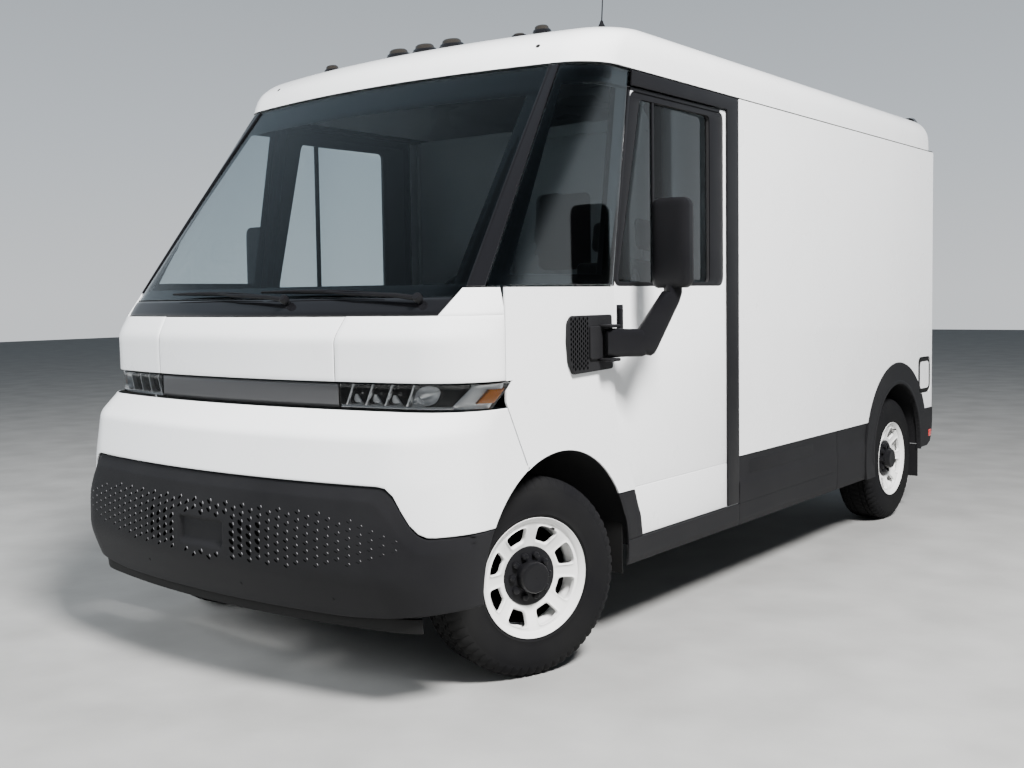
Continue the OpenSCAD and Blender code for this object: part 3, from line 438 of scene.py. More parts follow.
def stations(n, edge, length):
    """0..1 in n even steps, with extra ones near both ends where the edge turns in."""
    near = [edge * q / length for q in (0, 0.08, 0.3, 0.6, 1.0)]
    inner = [near[-1] + (1 - 2 * near[-1]) * i / n for i in range(1, n)]
    return near + inner + [1 - q for q in reversed(near)]


def rule(v):
    """Lets a plain number stand where a function is expected."""
    return v if callable(v) else lambda *_: v


def slant(a, b, z0, height):
    """Runs from a at height z0 to b at z0 + height."""
    return lambda z: mix(a, b, (z - z0) / height)


def beside(edge, d):
    return lambda z: edge(z) + d


def span(edge):
    """From the mirror image of an edge to the edge."""
    return lambda z: -edge(z), edge


def rim_roll(edge, near):
    """How far the surface falls back near a rounded rim."""
    return edge - math.sqrt(max(0.0, edge * edge - max(0.0, edge - near) ** 2)) if near < edge else 0.0


def sheet_faces(m, n):
    """The faces of a sheet whose front and back are grids of m by n points, with its four rims."""
    k = m * n
    last = k - n
    faces = [(i * n + j, (i + 1) * n + j, (i + 1) * n + j + 1, i * n + j + 1) for i in range(m - 1)
             for j in range(n - 1)]
    faces += [tuple(k + q for q in reversed(f)) for f in faces]
    for a in range(0, last, n):
        b = a + n - 1
        faces += [(a, k + a, k + a + n, a + n), (b, b + n, k + b + n, k + b)]
    for a in range(n - 1):
        b = last + a
        faces += [(a, a + 1, k + a + 1, k + a), (b, k + b, k + b + 1, b + 1)]
    return faces


def skin_panel(skin, lo, hi, z0, z1, d0, d1, nu=24, nz=10, edge=0.004, sink=None):
    """Panel over the nose between girths lo(z)..hi(z) and heights z0(s)..z1(s), with rounded rims.
    Where hi takes two arguments it gives the girth at a place s. sink(z, u, top) is an extra depth."""
    lo, hi, z0, z1 = lo if lo is None else rule(lo), rule(hi), rule(z0), rule(z1)
    su = stations(nu, edge, 1.0)
    tz = stations(nz, edge, 0.35)
    front, back = [], []
    for s in su:
        for t in tz:
            z = z0(s) + (z1(s) - z0(s)) * t
            u = hi(z, s) if lo is None else lo(z) + (hi(z) - lo(z)) * s
            width = 2 * hi(z, 1) if lo is None else abs(hi(z) - lo(z))
            near = min(min(s, 1 - s) * width, min(t, 1 - t) * (z1(s) - z0(s)))
            roll = rim_roll(edge, near)
            deep = sink(z, u, z1(s)) if sink else 0.0
            front.append(skin.at(z, u, d0 + roll + deep))
            back.append(skin.at(z, u, d1 + deep))
    return front + back, sheet_faces(len(su), len(tz))


def ease(s):
    s = max(0.0, min(1.0, s))
    return s * s * (3 - 2 * s)


def mix(a, b, s):
    return a + (b - a) * s


# ---- Nose panels ----
HOOD_U, SEAM_Y = 0.543, -2.192
FASCIA_HOLD = 1.15
PLATE_HALF, PLATE_Z = 0.128, (0.545, 0.652)


def hood_edge(z):
    return HOOD_U + max(0.0, z - 1.350) * 0.18


glass_u = slant(1.008, 0.903, BELT_Z, 0.937)


def arch_front_y(z):
    return ARCH_Y - math.sqrt(max(0.0, ARCH_R ** 2 - (z - ARCH_Z) ** 2))


def fascia_end(z):
    y = mix(-2.194, -2.064, (1.112 - z) / 0.252) if z > 0.860 else arch_front_y(z)
    return FASCIA.girth(z, y)


def bumper_end(z):
    return BUMPER.girth(z, arch_front_y(z))


def bumper_top(s):
    return mix(0.832, 0.650, ease((abs(2 * s - 1) - 0.56) / 0.23))


def bumper_foot(s):
    return mix(0.342, 0.384, ease((abs(2 * s - 1) - 0.5) * 2))


def fascia_girth(z, s):
    """Evenly spaced over the front, so that only the outer fifth follows the wheel opening."""
    c = 2 * s - 1
    g = abs(c)
    reach = FASCIA_HOLD * g / 0.8 if g < 0.8 else mix(FASCIA_HOLD, fascia_end(z), (g - 0.8) / 0.2)
    return math.copysign(reach, c)


def fascia_foot(s):
    lo, hi = 0.640, 0.850
    for _ in range(30):
        z = (lo + hi) / 2
        if z < bumper_top((1 + fascia_girth(z, s) / fascia_end(z)) / 2) + 0.004:
            lo = z
        else:
            hi = z
    return lo


def bumper_sink(z, u, top):
    """A sloping shoulder along the top edge and the shallow plate recess in the middle."""
    slope, shoulder_height, shoulder_end, recess = 0.30, 0.050, 1.25, 0.016
    shoulder = slope * max(0.0, z - top + shoulder_height) if abs(u) < shoulder_end else 0.0
    sides = ease((PLATE_HALF + 0.010 - abs(u)) / 0.014)
    upper = ease((PLATE_Z[1] + 0.004 - z) / 0.010)
    lower = ease((z - PLATE_Z[0] + 0.006) / 0.032)
    return shoulder + recess * sides * upper * lower


def nose():
    corner = lambda z: HOOD.girth(z, SEAM_Y)
    show("hood_panel", skin_panel(HOOD, *span(beside(hood_edge, -0.002)), 1.194, 1.438, 0, 0.005, 40, 16),
         WHITE, 60, "hood", body="hood")
    side = skin_panel(HOOD, beside(hood_edge, 0.002), corner, 1.194, 1.4395, 0, 0.005, 30, 16)
    top = skin_panel(HOOD, slant(0.958, 1.000, 1.437, 0.103), corner, 1.4385, 1.540, 0, 0.005, 16, 8, 0.001)
    show("corner_panels", both(merge([side, top])), WHITE, 60, "upper_fascia")
    show("lower_fascia_panel", skin_panel(FASCIA, None, fascia_girth, fascia_foot, 1.092, 0, 0.005, 90, 40),
         WHITE, 60, "lower_fascia")
    bumper = skin_panel(BUMPER, *span(bumper_end), bumper_foot, bumper_top, 0, 0.008, 300, 70, 0.006,
                        bumper_sink)
    show("bumper_cover", bumper, CLADDING, 60, "front_bumper")
    show("grille_bar_panel", skin_panel(BARBAND, -0.546, 0.546, 1.096, 1.186, 0, 0.022, 40, 6), BAR,
         60,
         "grille_bar")


def lamp_end(z):
    return BARBAND.girth(z, -2.262 if z < 1.110 else mix(-2.240, -2.160, (z - 1.118) / 0.070))


def lamp_bowl(centre, half, lean):
    """A reflector bowl: a rounded square at the front that shrinks to the back and leans like the lamp."""
    mid_z, tall, n = 1.145, 0.034, 24
    ring = []
    for depth, k in ((0.016, 1.0), (0.036, 0.80), (0.050, 0.45), (0.053, 0.05)):
        for c, q in squircle(n, 3):
            z = mid_z + q * tall * k
            ring.append(BARBAND.at(z, centre + c * half * k + (z - mid_z) * lean, depth))
    return ring, bands(3, n) + [tuple(range(3 * n, 4 * n))]


def headlights():
    foot_z, top_z, left, lean = 1.094, 1.188, 0.550, 0.42
    house = skin_panel(BARBAND, left, lamp_end, foot_z, top_z, 0.058, 0.070, 40, 6)
    rims = [skin_panel(BARBAND, left, lamp_end, a, b, 0.004, 0.068, 40, 3, 0.002)
            for a, b in ((foot_z, foot_z + 0.004), (top_z - 0.004, top_z))]
    rims.append(skin_panel(BARBAND, left, left + 0.006, foot_z, top_z, 0.004, 0.068, 2, 6, 0.002))
    show("headlight_housings", both(merge([house, merge(rims)])), SMOKED, 60)
    lens = skin_panel(BARBAND, 0.551, lamp_end, 1.095, 1.187, 0, 0.003, 40, 6, 0.002)
    show("headlight_lenses", both(lens), LENS, 60, "headlights")
    surround = skin_panel(BARBAND, beside(lamp_end, -0.165), beside(lamp_end, -0.004), 1.099, 1.178,
                          0.020, 0.028, 12, 6, 0.002)
    amber = skin_panel(BARBAND, beside(lamp_end, -0.082), beside(lamp_end, -0.008), 1.116, 1.166,
                       0.006, 0.021, 12, 6, 0.003)
    show("side_markers", both(amber), AMBER, 60)
    parts, bowls = [surround], []
    for u in (0.572, 0.660, 0.745, 0.838):
        lo = slant(u, u + lean, 1.100, 1)
        parts.append(skin_panel(BARBAND, lo, beside(lo, 0.007), 1.104, 1.184, 0.008, 0.056, 2, 6, 0.001))
        fin = lambda z, f=lo: f(z) + 0.070 - (z - 1.106) * 1.2
        parts.append(skin_panel(BARBAND, beside(lo, 0.010), fin, 1.106, 1.146, 0.030, 0.036, 8, 5, 0.002))
    parts.append(skin_panel(BARBAND, 0.558, beside(lamp_end, -0.150), 1.098, 1.107, 0.004, 0.050, 40, 3,
                            0.002))
    for centre, half in ((0.628, 0.030), (0.714, 0.030), (0.800, 0.032)):
        bowls.append(lamp_bowl(centre, half, lean))
    parts.append(lamp_bowl(0.925, 0.052, lean))
    show("lamp_bowls", both(merge(bowls)), SMOKED, 50)
    show("lamp_reflectors", both(merge(parts)), REFLECTOR, 50)


# ---- Glass ----
def screen_panel(lo, hi, z0, z1, *rest):
    return skin_panel(SCREEN_SKIN, lo, hi, z0, z1, *rest)


def frit(lo, hi, z0, z1, nu, nz, front=0.0112):
    """A thin black print behind the glass."""
    return screen_panel(lo, hi, z0, z1, front, 0.0125 if front > 0.01 else 0.0095, nu, nz, 0.0005)


def glazing():
    show("windshield_glass", screen_panel(*span(glass_u), 1.512, 2.464, 0.005, 0.011, 60, 16, 0.003), GLASS,
         60, "windshield")
    outer, inner = beside(glass_u, -0.004), beside(glass_u, -0.055)
    border = [frit(*span(outer), z0, z1, 60, 4) for z0, z1 in ((1.512, 1.560), (2.330, 2.464))]
    border.append(frit(inner, outer, 1.560, 2.330, 4, 12))
    border.append(frit(span(outer)[0], span(inner)[0], 1.560, 2.330, 4, 12))
    show("windshield_frit", merge(border), GLOSS, 60)
    cowl = screen_panel(*span(slant(0.952, 0.980, 1.443, 0.064)), 1.443, 1.507, 0, 0.014, 60, 5)
    show("cowl_cover", cowl, GLOSS, 60, "cowl_panel")
    inside = slant(1.012, 0.909, 1.545, 0.915)
    trims = screen_panel(inside, slant(1.080, 0.945, 1.545, 0.915), 1.545, 2.460, 0, 0.026, 12, 16, 0.004)
    show("windshield_pillars", both(trims), GLOSS, 60, "cab_frame")
    strips = screen_panel(beside(inside, -0.003), beside(inside, 0.005), 1.545, 2.460, -0.004, 0.004, 2, 16,
                          0.002)
    show("pillar_strips", both(strips), GLOSS, 60)
    front, rear_y = slant(1.084, 0.951, 1.547, 0.911), slant(-1.452, -1.300, 1.547, 0.911)
    rear = lambda z: SCREEN_SKIN.girth(z, rear_y(z))
    show("quarter_windows", both(screen_panel(front, rear, 1.547, 2.458, 0.002, 0.008, 24, 16, 0.003)),
         DARK_GLASS, 60, "quarter_glass")
    lo, hi = beside(front, 0.003), beside(rear, -0.003)
    front_band = slant(0.075, 0.030, 1.590, 0.780)
    bits = [frit(lo, hi, 1.549, 1.590, 24, 3, 0.0082), frit(lo, hi, 2.370, 2.456, 24, 3, 0.0082),
            frit(lo, lambda z: lo(z) + front_band(z), 1.590, 2.370, 3, 12, 0.0082),
            frit(beside(hi, -0.085), hi, 1.590, 2.370, 3, 12, 0.0082)]
    show("quarter_frit", both(merge(bits)), GLOSS, 60)


# ---- Roof ----
# (rise above the seam, inset at the sides, set-back at the front, set-back at the rear)
ROOF_KNOTS = ((0.003, 0, 1.040, 0), (0.066, 0, 1.062, 0), (0.120, 0.006, 1.109, 0.006),
              (0.172, 0.030, 1.204, 0.026), (0.208, 0.080, 1.377, 0.064), (0.230, 0.180, 1.700, 0.150),
              (0.240, 0.380, 1.950, 0.330))


def knot_at(s):
    """A ring between the knots, the corners between them rounded off."""
    def straight(q):
        q = max(0.0, min(len(ROOF_KNOTS) - 1.0, q))
        i = min(int(q), len(ROOF_KNOTS) - 2)
        return [mix(u, v, q - i) for u, v in zip(ROOF_KNOTS[i], ROOF_KNOTS[i + 1])]
    reach = 0.45 if 0 < s < len(ROOF_KNOTS) - 1 else 0
    return [sum(v) / 5 for v in zip(*(straight(s + reach * k / 2) for k in range(-2, 3)))]


ROOF_RINGS = [knot_at(i / 4) for i in range(4 * (len(ROOF_KNOTS) - 1) + 1)]


def roof_ring(rise, inset, back, rear, t):
    """The roof's outline at one height, t inside its outer surface."""
    w = HALF_W - inset - t
    z = SEAM_Z + rise - (t if rise > 0.05 else 0)
    r = 0.215 - inset * 0.2
    y0, y1 = NOSE_Y + back + t * 1.2, REAR_Y - rear - t
    rr = 0.120 + rear * 0.3
    a = math.atan(2 * BOW * (w - r))
    x = w - r + r * math.sin(a)
    yc = y0 + BOW * x * x + r * math.cos(a)
    half = [(x * i / 20, y0 + BOW * (x * i / 20) ** 2) for i in range(21)]
    half += [(w - r + r * math.sin(a + (math.pi / 2 - a) * i / 12),
              yc - r * math.cos(a + (math.pi / 2 - a) * i / 12)) for i in range(1, 13)]
    half += [(w, mix(yc, y1 - rr, i / 16)) for i in range(1, 17)]
    half += [(w - rr + rr * math.cos(math.radians(9 * i)), y1 - rr + rr * math.sin(math.radians(9 * i)))
             for i in range(1, 11)]
    half += [((w - rr) * (1 - i / 10), y1) for i in range(1, 11)]
    full = half + [(-px, py) for px, py in reversed(half[1:-1])]
    return [(px, py, z) for px, py in full]


def roof():
    rings = [roof_ring(*q, 0) for q in ROOF_RINGS] + [roof_ring(*q, 0.010) for q in reversed(ROOF_RINGS)]
    n, top = len(rings[0]), len(ROOF_RINGS) - 1
    verts = [p for ring in rings for p in ring]
    walls = bands(len(rings), n, len(rings))
    faces = walls[:top * n] + walls[(top + 1) * n:] + [tuple(range(top * n, (top + 1) * n)),
                                                       tuple(reversed(range((top + 1) * n, (top + 2) * n)))]
    show("roof_shell", (verts, faces), WHITE, 50, "roof_cap")


# ---- Doors and cab structure ----
DOOR_X = DOOR_HI.x - 0.011
DOOR_T = DOOR_X - DOOR_LO.x
# The door's front edge as (y, z), from the sill up
FRONT_EDGE = [(-1.225, DOOR_LO.z), (-1.245, 0.560), (-1.285, 0.668), (-1.345, 0.780), (-1.410, 0.891),
              (-1.438, 1.010), (-1.447, 1.160), (-1.447, BELT_Z)]
CREASE_Z = 0.6675
DOOR_END = DOOR_HI.y
OPENING = rounded([(-1.4325, BELT_Z), (-1.289, WINDOW_TOP - 0.014),
                   (POCKET_Y_FRONT - 0.016, WINDOW_TOP - 0.014),
                   (POCKET_Y_FRONT - 0.016, BELT_Z)], 0.05)
GLASS_HOLE = rounded([(-1.394, BELT_Z + 0.018), (-1.206, WINDOW_TOP - 0.044), (-0.571, WINDOW_TOP - 0.044),
                      (-0.571, BELT_Z + 0.018)], 0.03)
DIVIDER_Y = -1.090
SIDES = (("left", 1), ("right", -1))


def side_plate(loops, t0, t1, bevel, side=1):
    return sided(plate(loops, t0, t1, bevel, lambda a, b, t: (t, a, b)), side)


def cab_doors():
    top, end = WINDOW_TOP, DOOR_END
    under, over = CREASE_Z - 0.0015, CREASE_Z + 0.0015
    low = FRONT_EDGE[:2] + [(-1.2843, under), (end, under), (end, DOOR_LO.z)]
    high = [(-1.2858, over)] + [p for p in FRONT_EDGE if CREASE_Z + 0.01 < p[1]] + [
        (-1.302, top), (end, top), (end, over)]
    full = FRONT_EDGE + [(-1.302, top), (end, top), (end, DOOR_LO.z)]
    card = rounded([(-1.36, 0.74), (-1.40, BELT_Z - 0.08), (-0.52, BELT_Z - 0.08), (-0.52, 0.74)], 0.06)
    frame_loops = [[(mix(p[0], -0.93, -0.003), mix(p[1], 1.95, -0.003)) for p in OPENING], GLASS_HOLE]
    bar = rect(DIVIDER_Y - 0.008, DIVIDER_Y + 0.008, BELT_Z + 0.012, top - 0.040)
    front_strip = [(-1.446, BELT_Z + 0.002), (-1.3035, top - 0.004), (-1.286, top - 0.004),
                   (-1.429, BELT_Z + 0.002)]
    wide = [(mix(p[0], -0.95, -0.006), mix(p[1], 1.95, -0.006)) for p in GLASS_HOLE]
    front_pane = [(min(p[0], DIVIDER_Y), p[1]) for p in wide]
    rear_pane = [(max(p[0], DIVIDER_Y), p[1]) for p in wide]
    pull = rounded_box((DOOR_X - 0.001, -1.400, 1.320), (DOOR_X + 0.011, -1.372, 1.450), 0.005)
    recess = rounded_box((DOOR_X - 0.004, -1.412, 1.306), (DOOR_X + 0.0015, -1.360, 1.464), 0.0015)
    for name, side in SIDES:
        def layer(loops, deep, out, bevel):
            """A sheet of the door, from deep inside the outer skin to out beyond it."""
            return side_plate(loops, DOOR_X - deep, DOOR_X + out, bevel, side)
        body = name + "_cab_door"
        skins = [layer([low], 0.008, 0, 0.0025), layer([high, OPENING], 0.008, 0, 0.0025),
                 layer([rect(-1.283, end - 0.004, CREASE_Z - 0.02, CREASE_Z + 0.02)], 0.007, -0.0015,
                       0.0005)]
        show(name + "_door_skin", merge(skins), WHITE, 35, body, body=body)
        inner = [layer([full, GLASS_HOLE], DOOR_T, -0.009, 0.003),
                 layer([card], DOOR_T + 0.004, 0.001 - DOOR_T, 0.002)]
        show(name + "_door_lining", merge(inner), CAB, 35, body=body)
        black = [layer(frame_loops, 0.009, -0.004, 0.001), layer([bar], 0.032, -0.006, 0.002)]
        black += [layer([strip], 0.004, 0.0008, 0.0005)
                  for strip in (front_strip, rect(-1.3035, -0.475, top - 0.016, top - 0.001))]
        show(name + "_window_frame", merge(black), SATIN, 35, body=body)
        panes = [layer([front_pane], 0.016, -0.011, 0.0005), layer([rear_pane], 0.028, -0.023, 0.0005)]
        show(name + "_door_panes", merge(panes), DARK_GLASS, 35, name + "_door_glass",
             body=body)
        show(name + "_door_pull", sided(merge([pull, recess]), side), SATIN, 35, body=body)


def cab_structure():
    pillar = [(POCKET_Y, DOOR_LO.z + 0.004), (POCKET_Y, SEAM_Z - 0.003), (-1.290, SEAM_Z - 0.003),
              (-1.296, WINDOW_TOP + 0.004),
              (POCKET_Y_FRONT, WINDOW_TOP + 0.004), (POCKET_Y_FRONT, DOOR_LO.z + 0.004)]
    jamb = [(-1.500, 0.930), (-1.458, 0.930), (-1.458, BELT_Z), (-1.315, SEAM_Z - 0.006),
            (-1.357, SEAM_Z - 0.006), (-1.500, BELT_Z)]
    parts = [side_plate([pillar], HALF_W - 0.009, HALF_W - 0.001, 0.002),
             side_plate([jamb], 1.040, HALF_W - 0.017, 0.004)]
    parts.append(rounded_box((1.030, -1.300, SEAM_Z - 0.028), (1.086, 0.640, SEAM_Z - 0.006), 0.003))
    show("cab_pillars", both(merge(parts)), SATIN, 35)
    show("windshield_header", rounded_box((-0.820, -1.596, SEAM_Z - 0.028), (0.820, -1.556, SEAM_Z - 0.004),
                                          0.004), CAB)
    lining = [side_plate([rounded(rect(-1.27, -0.30, 0.70, 0.74), 0.01)], 1.01, 1.03, 0.003)]
    show("step_trims", both(merge(lining)), CAB, 35)


# ---- Wheels ----
# (radius, offset towards the outside) of the pressed disc
DISH = ((0.060, 0.063), (0.100, 0.063), (0.120, 0.066), (0.146, 0.073), (0.172, 0.083), (0.200, 0.094),
        (0.218, 0.099))
WINDOWS = 8


def dish(r):
    return table_at(DISH, r, 0.008)


def wheel_disc():
    """Pressed disc with rounded windows. Each window's loops spread out to the edge of its own sector."""
    parts = []
    r_in, r_out = 0.062, 0.217
    mid, tall, wide, flare = 0.173, 0.0305, 0.0405, 0.0110
    half = math.pi / WINDOWS
    n = 40
    for w in range(WINDOWS):
        centre = 2 * half * w + half
        loops = []
        for depth, spread in ((0.014, 0.0), (0.003, 0.0), (0.0, 0.02), (-0.0036, 0.07), (-0.0040, 0.13),
                              (-0.001, 0.24), (0, 0.5), (0, 0.75), (0, 1.0)):
            ring = []
            for c, q in circle(n):
                round_off = (abs(c) ** 5 + abs(q) ** 5) ** -0.2
                r0 = mid + tall * q * round_off
                t0 = c * round_off * (wide + flare * (q * round_off)) / r0
                edge = 1 / max(abs(c), abs(q))
                r1 = mix(r_in, r_out, (1 + q * edge) / 2)
                t1 = c * edge * half
                r, t = mix(r0, r1, spread), mix(t0, t1, spread) + centre
                ring.append((dish(r) - depth, r * math.cos(t), r * math.sin(t)))
            loops.append(ring)
        verts = [v for ring in loops for v in ring]
        parts.append((verts, bands(len(loops) - 1, n)))
    return merge(parts)


def on_axis(part, radius, angle):
    v, f = part
    return [(p[0], p[1] + radius * math.cos(angle), p[2] + radius * math.sin(angle)) for p in v], f


def tyre_part():
    """Side walls, a tread with four grooves and cross cuts, and the inner wall."""
    n = 240
    half = TYRE_W / 2
    wall = [(0.014, RIM_R - 0.003), (0.006, RIM_R + 0.008), (0.002, RIM_R + 0.014), (0.0035, RIM_R + 0.018),
            (0.001, RIM_R + 0.036), (-0.0005, TYRE_R - 0.095), (0.0005, TYRE_R - 0.075),
            (0.003, TYRE_R - 0.052), (0.005, TYRE_R - 0.048), (0.0045, TYRE_R - 0.040),
            (0.010, TYRE_R - 0.030), (0.017, TYRE_R - 0.018), (0.028, TYRE_R - 0.007),
            (0.046, TYRE_R - 0.001)]
    tread = [(0.052, 0.0), (0.053, -0.009), (0.060, -0.009), (0.061, 0.0), (0.084, 0.0), (0.085, -0.009),
             (0.092, -0.009), (0.093, 0.0), (0.118, 0.0)]
    side = [(half - a, r, 1 if r > TYRE_R - 0.042 else 0) for a, r in wall]
    side = side + [(half - a, TYRE_R + d - 0.0005, 2 if d == 0 else 0) for a, d in tread]
    profile = side + [(-a, r, k) for a, r, k in reversed(side)]
    inner = [(-half + 0.030, RIM_R - 0.003), (-half + 0.018, TYRE_R - 0.08), (-half + 0.05, TYRE_R - 0.016),
             (half - 0.05, TYRE_R - 0.016), (half - 0.018, TYRE_R - 0.08), (half - 0.030, RIM_R - 0.003)]
    profile += [(a, r, 0) for a, r in inner]
    verts = []
    for i, (a, r, kind) in enumerate(profile):
        for k, (c, s) in enumerate(circle(n)):
            cut = 0.0
            if kind == 1 and k % 4 == 0:
                cut = 0.0065
            if kind == 2 and (k + i // 2) % 4 == 0:
                cut = 0.008
            verts.append((a, (r - cut) * c, (r - cut) * s))
    return verts, bands(len(profile), n, len(profile))


def wheels():
    # Profiles as (offset from the wheel's middle, radius)
    flange = [(0.060, 0.214), (0.098, 0.216), (0.106, 0.222), (0.112, 0.231), (0.1165, 0.2365),
              (0.1185, 0.2385), (0.1175, 0.2400), (0.113, 0.2392), (0.108, 0.2335), (-0.108, 0.2335),
              (-0.113, 0.2385), (-0.1165, 0.238), (-0.1165, 0.233), (-0.100, 0.226), (-0.060, 0.214),
              (0.0, 0.205), (0.050, 0.205), (0.060, 0.214)]
    rim = merge([lathe(flange, 120), wheel_disc()])
    tyre = tyre_part()
    cover = [(0.0605, 0.1185), (0.070, 0.1180), (0.0735, 0.1150), (0.0742, 0.110), (0.0735, 0.067),
             (0.0755, 0.0635), (0.117, 0.0615), (0.1215, 0.0585), (0.1235, 0.052), (0.1225, 0.046),
             (0.1225, 0.001)]
    nut = [(0.072, 0.0150), (0.084, 0.0142), (0.0895, 0.0115), (0.0915, 0.0070), (0.092, 0.0003)]
    hub = merge([lathe(cover, 64)] + [on_axis(lathe(nut, 16), 0.084, 2 * math.pi * k / 10)
                                      for k in range(10)])
    # A black disc just behind the rim that darkens the wheel's windows, where the brake and hub sit in
    # shade: painted shade.
    shade_disc = lathe([(0.020, 0.055), (0.034, 0.060), (0.036, 0.150), (0.034, 0.194), (0.020, 0.198)], 48)
    valve = on_axis(lathe([(0.086, 0.0045), (0.112, 0.0045), (0.114, 0.003), (0.114, 0.0003)], 10), 0.205,
                    1.1)
    corners = [("front_" + name, side, (KINGPIN, FRONT_AXLE, STEER)) for name, side in SIDES]
    corners += [("rear_" + name, side, (0, REAR_AXLE, 0)) for name, side in SIDES]
    for name, side, (pivot, axle_y, steer) in corners:
        place = Matrix.Translation((side * pivot, axle_y, 0)) @ Matrix.Rotation(steer, 4, "Z")
        place = place @ Matrix.Translation((side * (TRACK - pivot), 0, TYRE_R))
        place = place @ Matrix.Rotation(0 if side > 0 else math.pi, 4, "Z")
        body = name + "_wheel"

        def put(part):
            return [place @ Vector(v) for v in part[0]], part[1]
        show(name + "_rim", put(rim), RIM, 50, name + "_wheel", body=body)
        show(name + "_tyre_carcass", put(tyre), TYRE, 35, name + "_tyre", body=body)
        show(name + "_hub_cover", put(hub), SATIN, 35, body=body)
        show(name + "_painted_shade_disc", put(shade_disc), SHADE_BLACK, body=body)
        show(name + "_valve", put(valve), SEAL, 35, body=body)


# ---- Cladding ----
def side_sheet(y0, y1, z0, z1, x_of, depth=0.008, ny=24, nz=12, edge=0.004):
    """A sheet on the left side, between y0(z) and y1(z); x_of(z) is its outside."""
    y0, y1, x_of = rule(y0), rule(y1), rule(x_of)
    su, tz = stations(ny, edge, 1.0), stations(nz, edge, max(0.05, z1 - z0))
    front, back = [], []
    for s in su:
        for t in tz:
            z = mix(z0, z1, t)
            y = mix(y0(z), y1(z), s)
            near = min(min(s, 1 - s) * abs(y1(z) - y0(z)), min(t, 1 - t) * (z1 - z0))
            roll = rim_roll(edge, near)
            front.append((x_of(z) - roll, y, z))
            back.append((x_of(z) - depth, y, z))
    return front + back, sheet_faces(len(su), len(tz))


def rocker_x(z):
    return HALF_W + table_at(((0.338, -0.009), (0.365, -0.002), (0.500, 0.0015), (0.545, 0.002),
                              (0.575, -0.003), (0.690, -0.004)), z, 0.008)


def arch_rear_y(z):
    return ARCH_Y + math.sqrt(max(0.0, ARCH_R ** 2 - (z - ARCH_Z) ** 2))


def flare_front_y(z):
    return FLARE_Y - math.sqrt(max(0.0, (FLARE_R + 0.002) ** 2 - (z - FLARE_Z) ** 2))


def cladding():
    door_edge = lambda z: table_at([(p[1], p[0]) for p in FRONT_EDGE], z) - 0.004
    seam = 0.955
    parts = [side_sheet(arch_rear_y, POCKET_Y + 0.002, SILL_Z, DOOR_LO.z - 0.002, rocker_x, 0.009, 40, 10),
             side_sheet(POCKET_Y + 0.0021, seam, SILL_Z, DOOR_LO.z - 0.002, rocker_x, 0.009, 30, 10,
                        0.0005),
             side_sheet(arch_rear_y, door_edge, DOOR_LO.z - 0.0019, 0.660, rocker_x, 0.009, 10, 12),
             side_sheet(POCKET_Y + 0.002, seam, DOOR_LO.z - 0.0019, PANEL_Z - 0.003, rocker_x, 0.009, 30,
                        14, 0.002),
             side_sheet(seam + 0.003, flare_front_y, SILL_Z, PANEL_Z - 0.003, rocker_x, 0.009, 24, 20)]
    parts.append(side_sheet(-1.222, POCKET_Y_FRONT, DOOR_LO.z - 0.014, DOOR_LO.z - 0.002, HALF_W - 0.002,
                            0.05, 20, 3, 0.003))
    raised = rounded(rect(-0.18, 0.62, 0.585, 0.655), 0.02)
    parts.append(side_plate([raised], HALF_W - 0.005, HALF_W - 0.0025, 0.001))
    show("rocker_covers", both(merge(parts)), CLADDING, 50, "rocker_trims")
    steps, wide = 60, 0.026
    section = ((-0.02, 0.0), (0.0055, 0.0), (0.0085, 0.003), (0.0085, wide - 0.006), (0.006, wide),
               (-0.002, wide + 0.001), (-0.02, wide))
    verts = []
    for i in range(steps + 1):
        a = math.radians(mix(-6, 186, i / steps))
        verts += [(HALF_W + dx, FLARE_Y + (FLARE_IN + dr) * math.cos(a),
                   FLARE_Z + (FLARE_IN + dr) * math.sin(a)) for dx, dr in section]
    show("rear_arch_lips", both((verts, swept(steps + 1, len(section)))), CLADDING, 50)
    # Thin black sheets behind the front wheels that hide the lit ground seen under the truck: painted
    # shade.
    guard = rounded_box((0.740, -1.352, 0.300), (1.072, -1.344, 0.660), 0.002)
    show("front_splash_guards", both(guard), SEAL)
    flap_lo, flap_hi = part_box("charge_door")
    ring = [rounded(rect(flap_lo.y - d, flap_hi.y + d, flap_lo.z - d, flap_hi.z + d), r)
            for d, r in ((0.014, 0.056), (-0.008, 0.036))]
    show("charge_door_seal", side_plate(ring, HALF_W - 0.004, HALF_W + 0.0015, 0.001), SEAL)
    mark = rounded_box((HALF_W + 0.004, 2.585, 0.488), (HALF_W + 0.009, 2.640, 0.536), 0.003)
    show("side_reflectors", both(mark), RED, 35)


def leaf(z, u, wide, tall, lean, depth, n=8):
    """A small leaf shape lying on the bumper."""
    edge = [BUMPER.at(z + q * tall, u + c * wide + q * lean, depth) for c, q in circle(n)]
    return edge, [tuple(range(n))]


def raised_leaf(z, u, wide, tall, lean, height, n=8):
    verts = []
    for k, depth in ((1.0, 0.0005), (0.6, -height * 0.8)):
        verts += leaf(z, u, wide * k, tall * k, lean * k, depth, n)[0]
    return verts, bands(1, n) + [tuple(range(n, 2 * n))]


